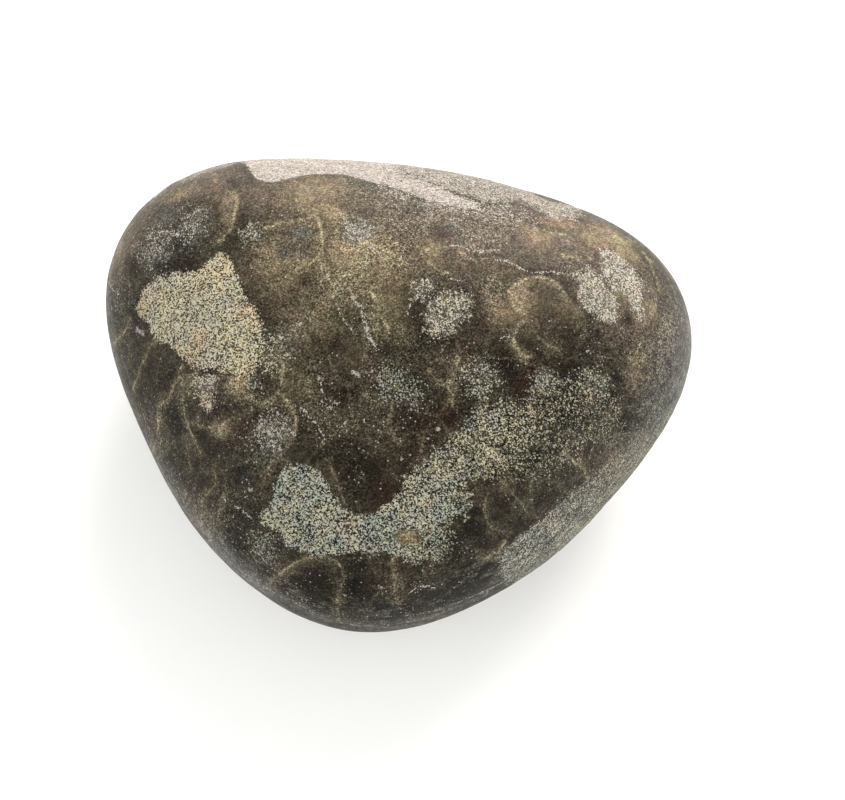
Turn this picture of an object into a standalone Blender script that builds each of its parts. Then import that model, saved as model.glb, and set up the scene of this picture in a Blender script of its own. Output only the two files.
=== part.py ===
"""Petoskey stone: a beach-worn pebble of fossil coral, a soft triangle seen from above, on a small flat spot.

Run it with: blender --background --python part.py
Units are metres and +Z is up. The origin is where the pebble's upright axis meets the surface it rests on.
+X is the stone's length, towards the corner at the viewer's right, and the viewer is on the -Y side.
"""

import bmesh
import bpy
import numpy as np

# From the upright axis to the edge at the widest level, every 22.5 degrees anticlockwise from +X
EDGE_RADII = (
    0.0373,
    0.0379,
    0.0327,
    0.0300,
    0.0302,
    0.0333,
    0.0396,
    0.0414,
    0.0362,
    0.0329,
    0.0325,
    0.0330,
    0.0322,
    0.0303,
    0.0302,
    0.0322,
)

# Heights above the surface that the stone rests on
WIDEST_LEVEL = 0.0172
CROWN_HEIGHT = 0.0380

# How far the round underside would reach below that surface if the resting spot weren't worn flat
SPOT_WEAR = 0.0005

# The power of the side's curve: 2 is a plain ellipse, and more has a fuller shoulder
CROWN_POWER = 2.5
UNDERSIDE_POWER = 2.3

# How far the top of the crown lies from the upright axis, to the right and away from the viewer
CROWN_LEAN = (0.0020, 0.0015)

# Faces that the waves wore nearly flat: the way each one faces, and how far it lies from the stone's middle
WORN_FACES = (
    ((0.10, 0.70, 0.70), 0.0264),
    ((0.62, -0.60, 0.50), 0.0290),
    ((-0.70, -0.30, 0.65), 0.0295),
    ((-0.10, -0.20, 0.97), 0.0200),
    ((0.25, 0.60, -0.76), 0.0250),
    ((-0.50, -0.40, -0.77), 0.0260),
    ((0.70, -0.20, -0.68), 0.0300),
)
FACE_SOFTNESS = 0.0016

# Half the height over which the resting spot rounds into the underside
SPOT_SOFTNESS = 0.0002

SPHERE_SUBDIVISIONS = 5

STONE_NAME = "petoskey_stone"
STONE_COLOUR = (0.115, 0.088, 0.066, 1.0)
STONE_ROUGHNESS = 0.42


def clear_scene():
    for obj in list(bpy.data.objects):
        bpy.data.objects.remove(obj, do_unlink=True)


def edge_radius(turn):
    """The widest level's radius at each turn, in radians: the smoothest closed curve through EDGE_RADII.

    That curve is the radii's own Fourier series, a sum of cosine waves that each go round a whole number of times.
    """
    count = len(EDGE_RADII)
    highest = count // 2
    waves = np.fft.rfft(EDGE_RADII) / count
    waves[1:highest] *= 2
    laps = np.arange(highest + 1)
    return (waves * np.exp(1j * np.outer(turn, laps))).real.sum(axis=1)


def pebble(directions):
    """The round body, where out**power + rise**power = 1.

    out is the share of the edge radius and rise the share of the height above or below the widest level.
    """
    turn = np.arctan2(directions[:, 1], directions[:, 0])
    level_part = np.hypot(directions[:, 0], directions[:, 1])
    upright_part = directions[:, 2]
    above = upright_part > 0
    power = np.where(above, CROWN_POWER, UNDERSIDE_POWER)
    height = np.where(above, CROWN_HEIGHT - WIDEST_LEVEL, WIDEST_LEVEL + SPOT_WEAR)
    out = level_part ** (2 / power)
    rise = np.abs(upright_part) ** (2 / power)
    lean = np.where(above, rise**2, 0)
    radius = edge_radius(turn) * out
    x = radius * np.cos(turn) + CROWN_LEAN[0] * lean
    y = radius * np.sin(turn) + CROWN_LEAN[1] * lean
    z = WIDEST_LEVEL + np.sign(upright_part) * height * rise
    return np.column_stack([x, y, z])


def wear_faces(points):
    """Draws what stands out past each worn face back to its plane, and rounds the edge of the face."""
    middle = np.array([0, 0, WIDEST_LEVEL])
    for facing, distance in WORN_FACES:
        normal = np.array(facing) / np.linalg.norm(facing)
        past = (points - middle) @ normal - distance
        excess = FACE_SOFTNESS * np.logaddexp(0, past / FACE_SOFTNESS)
        points = points - np.outer(excess, normal)
    return points


def wear_resting_spot(points):
    """Brings what would reach below the surface up to z = 0, and rounds the rim of that spot."""
    x, y, z = points.T
    rim = (z + SPOT_SOFTNESS) ** 2 / (4 * SPOT_SOFTNESS)
    z = np.where(z < -SPOT_SOFTNESS, 0, np.where(z < SPOT_SOFTNESS, rim, z))
    return np.column_stack([x, y, z])


def stone_material():
    material = bpy.data.materials.new("worn_coral_limestone")
    material.use_nodes = True
    shader = material.node_tree.nodes["Principled BSDF"]
    shader.inputs["Base Color"].default_value = STONE_COLOUR
    shader.inputs["Roughness"].default_value = STONE_ROUGHNESS
    shader.inputs["Metallic"].default_value = 0.0
    return material


def make_stone(collection):
    """A sphere of even triangles whose points each move to where the stone's surface is on that side."""
    shape = bmesh.new()
    bmesh.ops.create_icosphere(shape, subdivisions=SPHERE_SUBDIVISIONS, radius=1.0)
    directions = np.array([vertex.co for vertex in shape.verts])
    directions /= np.linalg.norm(directions, axis=1)[:, None]
    surface = wear_resting_spot(wear_faces(pebble(directions)))
    for vertex, place in zip(shape.verts, surface):
        vertex.co = place
    bmesh.ops.recalc_face_normals(shape, faces=shape.faces)
    mesh = bpy.data.meshes.new(STONE_NAME)
    shape.to_mesh(mesh)
    shape.free()
    mesh.shade_smooth()
    mesh.materials.append(stone_material())
    stone = bpy.data.objects.new(STONE_NAME, mesh)
    collection.objects.link(stone)
    return stone


def main():
    clear_scene()
    collection = bpy.data.collections.new("petoskey_stone")
    bpy.context.scene.collection.children.link(collection)
    make_stone(collection)


main()
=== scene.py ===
# %% [markdown]
# # A petoskey stone
# A petoskey stone is a pebble of fossil coral. Waves rolled it until it was round and satin smooth. The
# cups of the corals still show in it as cells with thin pale walls, and mud that filled some gaps turned
# to pale grainy stone.
#
# The solid from the first script gives the size and the place. This script makes the surface that is
# seen.

# %% Load the frame
import math

import bpy
import numpy as np
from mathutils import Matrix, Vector


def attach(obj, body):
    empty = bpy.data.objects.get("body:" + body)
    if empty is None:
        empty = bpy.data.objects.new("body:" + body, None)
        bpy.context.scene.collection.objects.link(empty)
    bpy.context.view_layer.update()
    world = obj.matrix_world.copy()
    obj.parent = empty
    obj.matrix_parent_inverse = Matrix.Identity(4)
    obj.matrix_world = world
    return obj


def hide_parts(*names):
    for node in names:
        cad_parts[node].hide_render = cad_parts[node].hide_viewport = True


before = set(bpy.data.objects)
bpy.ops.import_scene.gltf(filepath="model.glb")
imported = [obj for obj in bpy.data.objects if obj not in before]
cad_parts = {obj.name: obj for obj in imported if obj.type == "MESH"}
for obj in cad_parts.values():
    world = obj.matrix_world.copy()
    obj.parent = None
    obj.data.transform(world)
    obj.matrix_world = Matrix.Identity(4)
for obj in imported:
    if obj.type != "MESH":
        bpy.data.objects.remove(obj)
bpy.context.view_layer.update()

MM = 0.001
STONE_NODE = "petoskey_stone"

# %% [markdown]
# ## Where the camera stands
# The stone was photographed from above and a little in front. The marks on the stone were read from that
# picture, so the camera's values come first: the same values put each mark where it is on the stone.
#
# A long lens from a third of a metre keeps the shape almost free of perspective.

# %% The camera's values
PHOTO_WIDTH = 845
PHOTO_HEIGHT = 800
LENS = 105
SENSOR_WIDTH = 36
CAMERA_DISTANCE = 320
CAMERA_ELEVATION = math.radians(70)
CAMERA_TARGET = np.array([3.0, -2.1, 17.7])

camera_right = np.array([1, 0, 0])
camera_up = np.array([0, math.sin(CAMERA_ELEVATION), math.cos(CAMERA_ELEVATION)])
camera_back = np.array([0, -math.cos(CAMERA_ELEVATION), math.sin(CAMERA_ELEVATION)])


def photo_place(points):
    """Where points in mm land in the photo, in px from its top left: sideways and downwards over depth."""
    offset = points - CAMERA_TARGET
    px_at_depth = LENS / SENSOR_WIDTH * PHOTO_WIDTH / (CAMERA_DISTANCE - offset @ camera_back)
    x = PHOTO_WIDTH / 2 + offset @ camera_right * px_at_depth
    y = PHOTO_HEIGHT / 2 - offset @ camera_up * px_at_depth
    return np.column_stack([x, y])


middle = photo_place(CAMERA_TARGET[None])[0]
print("the target lands at px:", middle.round(1), "of", (PHOTO_WIDTH, PHOTO_HEIGHT))

# %% [markdown]
# ## The form of the pebble
# Seen from above the stone is a soft triangle. It could be sculpted, or made by moving a few cage points
# under a Subdivision Surface. Here it is a formula instead, the same one as in the first script, so the
# two agree to a hundredth of a millimetre and every size stays a number that can be read.
#
# The widest level is a closed curve through sixteen radii. Above and below it the sides close like an
# ellipse with fuller shoulders. Then the waves' work is added: seven faces are drawn back to soft planes.

# %% The sizes of the pebble, in mm
EDGE_RADII = (37.3, 37.9, 32.7, 30.0, 30.2, 33.3, 39.6, 41.4, 36.2, 32.9, 32.5, 33.0, 32.2, 30.3, 30.2, 32.2)
WIDEST_LEVEL = 17.2
CROWN_HEIGHT = 38.0
SPOT_WEAR = 0.5
CROWN_POWER = 2.5
UNDERSIDE_POWER = 2.3
CROWN_LEAN = (2.0, 1.5)
WORN_FACES = (
    ((0.10, 0.70, 0.70), 26.4),
    ((0.62, -0.60, 0.50), 29.0),
    ((-0.70, -0.30, 0.65), 29.5),
    ((-0.10, -0.20, 0.97), 20.0),
    ((0.25, 0.60, -0.76), 25.0),
    ((-0.50, -0.40, -0.77), 26.0),
    ((0.70, -0.20, -0.68), 30.0),
)
FACE_SOFTNESS = 1.6
SPOT_SOFTNESS = 0.2
print("radii:", len(EDGE_RADII), "worn faces:", len(WORN_FACES))

# %% The pebble as a function of direction
def edge_radius(turn):
    """The widest level's radius at each turn: a sum of cosines, the Fourier series of the sixteen radii."""
    count = len(EDGE_RADII)
    highest = count // 2
    waves = np.fft.rfft(EDGE_RADII) / count
    waves[1:highest] *= 2
    laps = np.arange(highest + 1)
    return (waves * np.exp(1j * np.outer(turn, laps))).real.sum(axis=1)


def pebble(directions):
    """The round body: out**power + rise**power = 1, with out times the edge radius, rise times the height."""
    turn = np.arctan2(directions[:, 1], directions[:, 0])
    level_part = np.hypot(directions[:, 0], directions[:, 1])
    upright_part = directions[:, 2]
    above = upright_part > 0
    power = np.where(above, CROWN_POWER, UNDERSIDE_POWER)
    height = np.where(above, CROWN_HEIGHT - WIDEST_LEVEL, WIDEST_LEVEL + SPOT_WEAR)
    out = level_part ** (2 / power)
    rise = np.abs(upright_part) ** (2 / power)
    lean = np.where(above, rise**2, 0)
    radius = edge_radius(turn) * out
    x = radius * np.cos(turn) + CROWN_LEAN[0] * lean
    y = radius * np.sin(turn) + CROWN_LEAN[1] * lean
    z = WIDEST_LEVEL + np.sign(upright_part) * height * rise
    return np.column_stack([x, y, z])


def wear(points):
    """Takes log(1 + exp(past plane)) off along each worn face's normal, then lifts what is under z = 0."""
    middle = np.array([0, 0, WIDEST_LEVEL])
    for facing, distance in WORN_FACES:
        normal = np.array(facing) / np.linalg.norm(facing)
        past = (points - middle) @ normal - distance
        excess = FACE_SOFTNESS * np.logaddexp(0, past / FACE_SOFTNESS)
        points = points - np.outer(excess, normal)
    x, y, z = points.T
    rim = (z + SPOT_SOFTNESS) ** 2 / (4 * SPOT_SOFTNESS)
    z = np.where(z < -SPOT_SOFTNESS, 0, np.where(z < SPOT_SOFTNESS, rim, z))
    return np.column_stack([x, y, z])


crown = wear(pebble(np.array([[0.0, 0.0, 1.0]])))[0]
print("top of the worn crown in mm:", crown.round(1))

# %% [markdown]
# ## A skin of even squares
# A sphere of meridians crowds its faces at the poles, and the pole would sit in the middle of the
# picture. A box blown up to a sphere has no poles: two square caps and a belt round them, each a plain
# grid. The tangent of the grid's angle keeps the squares even. The caps' rims and the belt's rims are the
# same points, and they are merged.

# %% The grids
CAP_CELLS = 168
BELT_CELLS = 64


def even_steps(cells):
    """Steps from -1 to 1, even in angle: the tangent of even steps of an eighth of a turn each way."""
    return np.tan(np.linspace(-math.pi / 4, math.pi / 4, cells + 1))


def grid_quads(rows, columns, start=0, closed=False):
    """The four corners of each cell of a grid of points, row by row, and round again if it is closed."""
    row = np.arange(rows if closed else rows - 1)
    column = np.arange(columns - 1)
    here = row[:, None] * columns + column
    beyond = (row[:, None] + 1) % rows * columns + column
    return start + np.stack([here, beyond, beyond + 1, here + 1], axis=-1).reshape(-1, 4)


def box_skin():
    """Unit directions and quads of the box's grids: caps at z = 1 and z = -1, and the belt between them."""
    steps = even_steps(CAP_CELLS)
    x, y = np.meshgrid(steps, steps, indexing="ij")
    one = np.ones_like(x)
    top = np.stack([x, y, one], axis=-1).reshape(-1, 3)
    bottom = np.stack([y, x, -one], axis=-1).reshape(-1, 3)
    side = steps[:-1]
    full = np.ones_like(side)
    round_x = np.concatenate([full, -side, -full, side])
    round_y = np.concatenate([side, full, -side, -full])
    heights = even_steps(BELT_CELLS)
    belt_x, belt_z = np.meshgrid(round_x, heights, indexing="ij")
    belt_y = np.repeat(round_y[:, None], len(heights), axis=1)
    belt = np.stack([belt_x, belt_y, belt_z], axis=-1).reshape(-1, 3)
    points = np.concatenate([top, bottom, belt])
    points /= np.linalg.norm(points, axis=1)[:, None]
    quads = np.concatenate([
        grid_quads(CAP_CELLS + 1, CAP_CELLS + 1),
        grid_quads(CAP_CELLS + 1, CAP_CELLS + 1, start=len(top)),
        grid_quads(len(round_x), BELT_CELLS + 1, start=len(top) * 2, closed=True),
    ])
    _, first, merged = np.unique(points.round(6), axis=0, return_index=True, return_inverse=True)
    return points[first], merged.reshape(-1)[quads]


directions, quads = box_skin()
surface = wear(pebble(directions))
print("points:", len(surface), "triangles:", 2 * len(quads))

# %% The mesh, before any mark is in it
stone_mesh = bpy.data.meshes.new("stone_skin")
stone_mesh.from_pydata((surface * MM).tolist(), [], quads.tolist())
stone_mesh.shade_smooth()
normals = np.empty(3 * len(surface), dtype=np.float32)
stone_mesh.vertices.foreach_get("normal", normals)
normals = normals.reshape(-1, 3).astype(float)
outward = ((surface - [0, 0, WIDEST_LEVEL]) * normals).sum(axis=1)
print("normals that point inwards:", int((outward < 0).sum()))

# %% [markdown]
# ## From the picture to the stone
# Each mark was read from the picture as a few pixels. Painting them on as an image would be blurred and
# would end at the rim. Instead every mark becomes a distance in mm, measured along the stone and kept at
# each point of the mesh. The material turns those distances into edges as sharp as the real ones.

# %% Places in the photo, lifted onto the stone
SEEN_FROM = 0.02
SEEN_FADE = 0.18
CURVE_STEPS = 3
NEIGHBOURS = 4
NEAREST_PX = 0.1

stone_in_photo = photo_place(surface)
facing_camera = normals @ camera_back
front = np.flatnonzero(facing_camera > SEEN_FROM)
seen = np.clip((facing_camera - SEEN_FROM) / SEEN_FADE, 0, 1)
print("points that the camera sees:", len(front))


def lift(places):
    """Points on the stone for places in the photo: the four nearest seen points, weighted by nearness."""
    places = np.atleast_2d(np.asarray(places, dtype=float))
    offset = places[:, None, :] - stone_in_photo[front][None, :, :]
    gap = np.hypot(offset[..., 0], offset[..., 1])
    nearest = np.argpartition(gap, NEIGHBOURS, axis=1)[:, :NEIGHBOURS]
    weight = 1 / (np.take_along_axis(gap, nearest, axis=1) + NEAREST_PX)
    weight /= weight.sum(axis=1)[:, None]
    return (surface[front][nearest] * weight[..., None]).sum(axis=1)


def rounded(places, closed):
    """A smooth curve through the places: a cubic for each stretch, turned along its neighbours' line."""
    places = np.asarray(places, dtype=float)
    if closed:
        before, after, beyond = (np.roll(places, shift, axis=0) for shift in (1, -1, -2))
        here = places
    else:
        padded = np.concatenate([places[:1], places, places[-1:]])
        before, here, after, beyond = padded[:-3], padded[1:-2], padded[2:-1], padded[3:]
    t = np.linspace(0, 1, CURVE_STEPS, endpoint=False)[None, :, None]
    a, b, c, d = (block[:, None, :] for block in (before, here, after, beyond))
    curve = 0.5 * (2 * b + (c - a) * t + (2 * a - 5 * b + 4 * c - d) * t**2 + (3 * b - a - 3 * c + d) * t**3)
    curve = curve.reshape(-1, 2)
    return curve if closed else np.concatenate([curve, places[-1:]])


def offset_to_path(points, facing, path, closed):
    """For each point: its distance from the path, and how far it lies to the left of the nearest stretch.

    Left is square to the stretch and to the way that the surface faces there.
    """
    gap, side = np.full((2, len(points)), np.inf)
    ends = np.roll(path, -1, axis=0)
    stretches = zip(path, ends) if closed else zip(path[:-1], ends[:-1])
    for start, end in stretches:
        along = end - start
        length = np.linalg.norm(along)
        if length < 1e-6:
            continue
        share = np.clip((points - start) @ along / length**2, 0, 1)
        away = points - start - np.outer(share, along)
        distance = np.linalg.norm(away, axis=1)
        nearer = distance < gap
        left = np.cross(facing[nearer], along / length)
        left /= np.linalg.norm(left, axis=1)[:, None] + 1e-9
        gap[nearer] = distance[nearer]
        side[nearer] = ((points[nearer] - start) * left).sum(axis=1)
    return gap, side


def inside(places, outline):
    """Whether each place is inside the outline: a ray to the right crosses it an odd number of times."""
    x, y = places.T
    odd = np.zeros(len(places), dtype=bool)
    for (x0, y0), (x1, y1) in zip(outline, np.roll(outline, -1, axis=0)):
        if y0 == y1:
            continue
        crosses = (y0 > y) != (y1 > y)
        odd ^= crosses & (x < x0 + (y - y0) / (y1 - y0) * (x1 - x0))
    return odd


# %% [markdown]
# ## The granular patches
# Lime mud and shell sand filled the gaps between the corals, and set to a pale stone that wears rough.
# The largest patch is tan with sharp corners. A grey-green one has a round head and an arm that fades
# out. Others lie along the lower right rim, in a band over the far edge, and as small spots in the
# corals' cups. One bit of shell lies smooth among the grains.
#
# Each has its outline, and three numbers for its look: warmth from grey to yellow, paleness, and how
# closely its grains are packed. What the picture doesn't show is made up: ten patches of the same kinds
# go round the sides and under the stone, each of them a plain ellipsoid, and the material makes bays in
# their outlines.

# %% Outlines of the patches, in px of the photo
TAN_PATCH = (
    (221, 253), (228, 256), (233, 263), (237, 275), (243, 290), (250, 303), (257, 315), (264, 328),
    (267, 342), (264, 355), (259, 367), (252, 377), (240, 377), (228, 372), (212, 371), (197, 369),
    (189, 366), (180, 356), (170, 347), (158, 341), (150, 334), (146, 322), (139, 316), (136, 308),
    (139, 300), (142, 291), (150, 283), (160, 277), (172, 273), (186, 272), (196, 270), (204, 264),
    (212, 257),
)
GREY_SPOT = (
    (196, 374), (206, 372), (216, 378), (216, 392), (214, 405), (210, 414), (204, 410), (198, 402),
    (192, 392), (191, 382),
)
GREY_HEAD = (
    (292, 464), (300, 463), (310, 466), (318, 470), (323, 478), (328, 485), (334, 496), (339, 505),
    (346, 511), (356, 514), (368, 514), (378, 511), (386, 505), (396, 496), (403, 486), (408, 474),
    (418, 466), (428, 460), (450, 470), (464, 480), (466, 492), (472, 505), (466, 517), (455, 523),
    (448, 529), (452, 540), (445, 552), (432, 560), (415, 563), (400, 558), (388, 553), (374, 556),
    (358, 553), (345, 554), (330, 556), (312, 555), (298, 551), (286, 545), (278, 534), (266, 528),
    (260, 520), (262, 511), (270, 502), (273, 488), (278, 477), (284, 469),
)
GREY_ARM = (
    (400, 490), (408, 474), (418, 464), (428, 456), (434, 448), (446, 442), (456, 437), (462, 425),
    (470, 416), (480, 406), (494, 400), (515, 398), (540, 398), (556, 408), (562, 425), (556, 440),
    (545, 450), (528, 460), (515, 470), (500, 478), (486, 478), (474, 478), (464, 482), (450, 492),
    (430, 500), (412, 500),
)
FADED_ARM = (
    (520, 400), (543, 388), (575, 378), (605, 380), (617, 410), (612, 440), (586, 452), (556, 470),
    (530, 482), (512, 470), (512, 430),
)
RIM_PATCH = (
    (496, 556), (507, 548), (520, 537), (543, 520), (566, 499), (582, 488), (600, 482), (614, 484),
    (606, 508), (590, 530), (568, 552), (547, 568), (526, 580), (505, 582),
)
RIM_TAIL = (
    (572, 497), (582, 488), (592, 476), (606, 462), (620, 453), (640, 446), (660, 428), (674, 404),
    (686, 398), (678, 420), (664, 444), (650, 464), (634, 486), (614, 508), (596, 522),
)
FAR_BAND = (
    (228, 162), (240, 161), (249, 167), (256, 178), (270, 181), (285, 179), (300, 175), (315, 173),
    (330, 173), (345, 174), (360, 178), (378, 182), (395, 182), (400, 164), (370, 156), (330, 153),
    (284, 151), (246, 154),
)
FAR_BAND_RIGHT = (
    (345, 171), (365, 179), (385, 185), (402, 190), (420, 197), (440, 204), (460, 208), (474, 210),
    (486, 209), (478, 201), (462, 195), (446, 188), (430, 181), (410, 174), (395, 168), (380, 162),
    (360, 158),
)
FAR_VEIN = (
    (386, 156), (410, 157), (432, 162), (456, 169), (480, 176), (500, 184), (514, 194), (506, 204),
    (488, 201), (466, 195), (446, 188), (428, 181), (408, 174), (394, 166),
)
FAR_FRINGE = (
    (380, 184), (402, 192), (424, 200), (446, 206), (470, 210), (486, 206), (504, 202), (520, 208),
    (534, 218), (522, 224), (500, 220), (476, 217), (452, 212), (428, 206), (402, 198), (384, 191),
)
FAR_STREAK = (
    (452, 176), (470, 183), (490, 190), (510, 196), (528, 204), (542, 212), (558, 218), (577, 217),
    (580, 208), (560, 202), (540, 195), (520, 187), (500, 181), (480, 175), (462, 171),
)
# A painted highlight: the glint along the upper left rim, drawn as a thin sliver of pale grains.
FAR_GLINT = (
    (176, 177), (200, 167), (228, 160), (238, 162), (206, 171), (184, 181),
)
RIGHT_CRESCENT = (
    (600, 248), (611, 249), (620, 255), (628, 261), (636, 268), (641, 280), (643, 292), (645, 305),
    (643, 320), (636, 319), (632, 305), (627, 296), (619, 291), (611, 287), (605, 277), (601, 264),
)
LEFT_CRESCENT = (
    (579, 272), (590, 266), (600, 275), (609, 286), (616, 294), (620, 305), (619, 317), (611, 325),
    (602, 319), (595, 314), (588, 310), (583, 305), (577, 298), (577, 286),
)
UPPER_SPOT = (
    (416, 286), (421, 279), (428, 277), (437, 281), (437, 289), (430, 297), (420, 301), (415, 296),
)
CENTRE_SPOT = (
    (430, 300), (436, 292), (446, 289), (458, 291), (469, 295), (471, 305), (467, 316), (461, 325),
    (450, 333), (438, 335), (428, 328), (424, 318), (428, 308),
)

PATCHES = (
    # outline, warmth, paleness, closeness
    (TAN_PATCH, 0.95, 0.14, 1.0),
    (GREY_SPOT, 0.75, 0.3, 0.8),
    (GREY_HEAD, 0.25, 0.05, 1.0),
    (GREY_ARM, 0.45, 0.0, 0.64),
    (FADED_ARM, 0.45, 0.0, 0.25),
    (RIM_PATCH, 0.1, 0.2, 0.8),
    (RIM_TAIL, 0.25, 0.15, 0.5),
    (FAR_BAND, 0.75, 1.0, 1.0),
    (FAR_BAND_RIGHT, 0.6, 1.0, 0.93),
    (FAR_VEIN, 0.6, 0.9, 0.6),
    (FAR_FRINGE, 0.5, 0.8, 0.32),
    (FAR_STREAK, 0.6, 0.9, 0.65),
    # the glint is a painted highlight in the look of pale grains
    (FAR_GLINT, 0.2, 0.8, 0.6),
    (RIGHT_CRESCENT, 0.55, 0.45, 0.9),
    (LEFT_CRESCENT, 0.55, 0.45, 0.9),
    (UPPER_SPOT, 0.5, 0.4, 0.65),
    (CENTRE_SPOT, 0.4, 0.25, 0.75),
)
print("patches:", len(PATCHES), "with corners:", sum(len(outline) for outline, *_ in PATCHES))

# %% The small round spots: centre and radius in px, warmth, paleness, closeness
SPOTS = (
    (271, 345, 8, 0.3, 0.0, 0.5),
    (268, 366, 9, 0.3, 0.0, 0.45),
    (251, 386, 9, 0.4, 0.0, 0.45),
    (390, 383, 17, 0.1, 0.0, 0.55),
    (270, 430, 17, 0.3, 0.5, 0.5),
    (592, 391, 19, 0.6, 0.1, 0.75),
    (358, 230, 13, 0.1, 0.6, 0.55),
    (190, 224, 16, 0.0, 0.4, 0.4),
    (153, 246, 15, 0.0, 0.4, 0.4),
    (251, 233, 10, 0.3, 0.3, 0.6),
    (262, 548, 13, 0.1, 0.1, 0.5),
    (480, 380, 20, 0.2, 0.1, 0.5),
    (546, 386, 14, 0.1, 0.2, 0.6),
    (410, 394, 14, 0.0, 0.1, 0.45),
    (432, 536, 22, 0.3, 0.0, 0.5),
    (455, 502, 16, 0.35, 0.0, 0.55),
)

# %% A smooth bit of shell among the grains: centre and radius in px
SHELL_BIT = (408, 538, 10)
SHELL_STRETCH = (1.5, 0.8, 1)

# %% Patches on the sides that the photo doesn't show: centre and radii in mm, then the look
HIDDEN_PATCHES = (
    ((-6, 30, 21), (21, 8, 8), 0.6, 0.9, 0.95),
    ((22, 25, 14), (9, 7, 8), 0.4, 0.3, 0.8),
    ((-33, 18, 8), (9, 9, 6), 0.8, 0.4, 0.9),
    ((-30, -10, 8), (7, 9, 5), 0.3, 0.2, 0.7),
    ((14, -26, 9), (14, 7, 6), 0.3, 0.2, 0.85),
    ((33, -4, 10), (6, 9, 7), 0.4, 0.2, 0.7),
    ((10, 14, 1), (13, 8, 6), 0.9, 0.4, 0.95),
    ((-14, -12, 1), (8, 12, 6), 0.3, 0.2, 0.9),
    ((20, -8, 3), (6, 5, 5), 0.4, 0.4, 0.8),
    ((-18, 20, 4), (6, 5, 5), 0.2, 0.5, 0.6),
)
print("small spots:", len(SPOTS), "patches on the hidden sides:", len(HIDDEN_PATCHES))

# %% Distance into the nearest patch, and the look of the patch there
FAR_AWAY = 9.0
NO_PATCH = -20.0
PATCH_REACH = 6
HIDDEN_FROM = 0.25
HIDDEN_FADE = 8


def near(path, reach):
    """The points of the stone inside the path's own box, grown by a reach in mm."""
    low = path.min(axis=0) - reach
    high = path.max(axis=0) + reach
    return np.flatnonzero(((surface > low) & (surface < high)).all(axis=1))


def px_to_mm(x, y, radius_px):
    """The place on the stone under a place in the photo, and how many mm a radius in px is there."""
    centre, left, right = lift(((x, y), (x - radius_px / 2, y), (x + radius_px / 2, y)))
    return centre, np.linalg.norm(right - left)


patch_depth = np.full(len(surface), NO_PATCH)
look_total = np.zeros((len(surface), 3))
look_weight = np.full(len(surface), 1e-9)


def add_patch(points, depth, look):
    """Keeps the greatest depth, and blends the looks where patches meet, with exp(depth in mm) as weight."""
    patch_depth[points] = np.maximum(patch_depth[points], depth)
    weight = np.exp(np.clip(depth, -8, 3))
    look_total[points] += weight[:, None] * np.array(look)
    look_weight[points] += weight


for outline, *look in PATCHES:
    outline_px = rounded(outline, closed=True)
    path = lift(outline_px)
    points = near(path, PATCH_REACH)
    gap, _ = offset_to_path(surface[points], normals[points], path, closed=True)
    within = inside(stone_in_photo[points], outline_px) & (facing_camera[points] > 0)
    add_patch(points, np.where(within, gap, -gap), look)

for x, y, radius_px, *look in SPOTS:
    centre, radius = px_to_mm(x, y, radius_px)
    gap = np.linalg.norm(surface - centre, axis=1)
    points = np.flatnonzero(gap < radius + PATCH_REACH)
    add_patch(points, radius - gap[points], look)

centre, radius = px_to_mm(*SHELL_BIT)
outside_shell = np.linalg.norm((surface - centre) / SHELL_STRETCH, axis=1) - radius
patch_depth = np.minimum(patch_depth, outside_shell * SHELL_STRETCH[0])

for centre, radii, *look in HIDDEN_PATCHES:
    share = np.linalg.norm((surface - centre) / radii, axis=1)
    depth = (1 - share) * np.mean(radii)
    points = np.flatnonzero((depth > -PATCH_REACH) & (facing_camera < HIDDEN_FROM))
    add_patch(points, depth[points] - HIDDEN_FADE * np.clip(facing_camera[points], 0, 1), look)

patch_look = look_total / look_weight[:, None]
print("share of the stone in patches:", round(float((patch_depth > 0).mean()), 3))

# %% [markdown]
# ## The walls of the corals
# Each cup has a thin wall round it. Where the walls show in the picture they are pale lines less than
# half a millimetre wide. A line that thin slips between the points of a mesh if only its distance is
# kept. So each point also keeps on which side of the line it is: that number passes evenly through zero
# between two points, and the line stays crisp.
#
# A few walls have turned to strings of white beads. They are kept in the same way, with a strength below
# zero.

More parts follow.
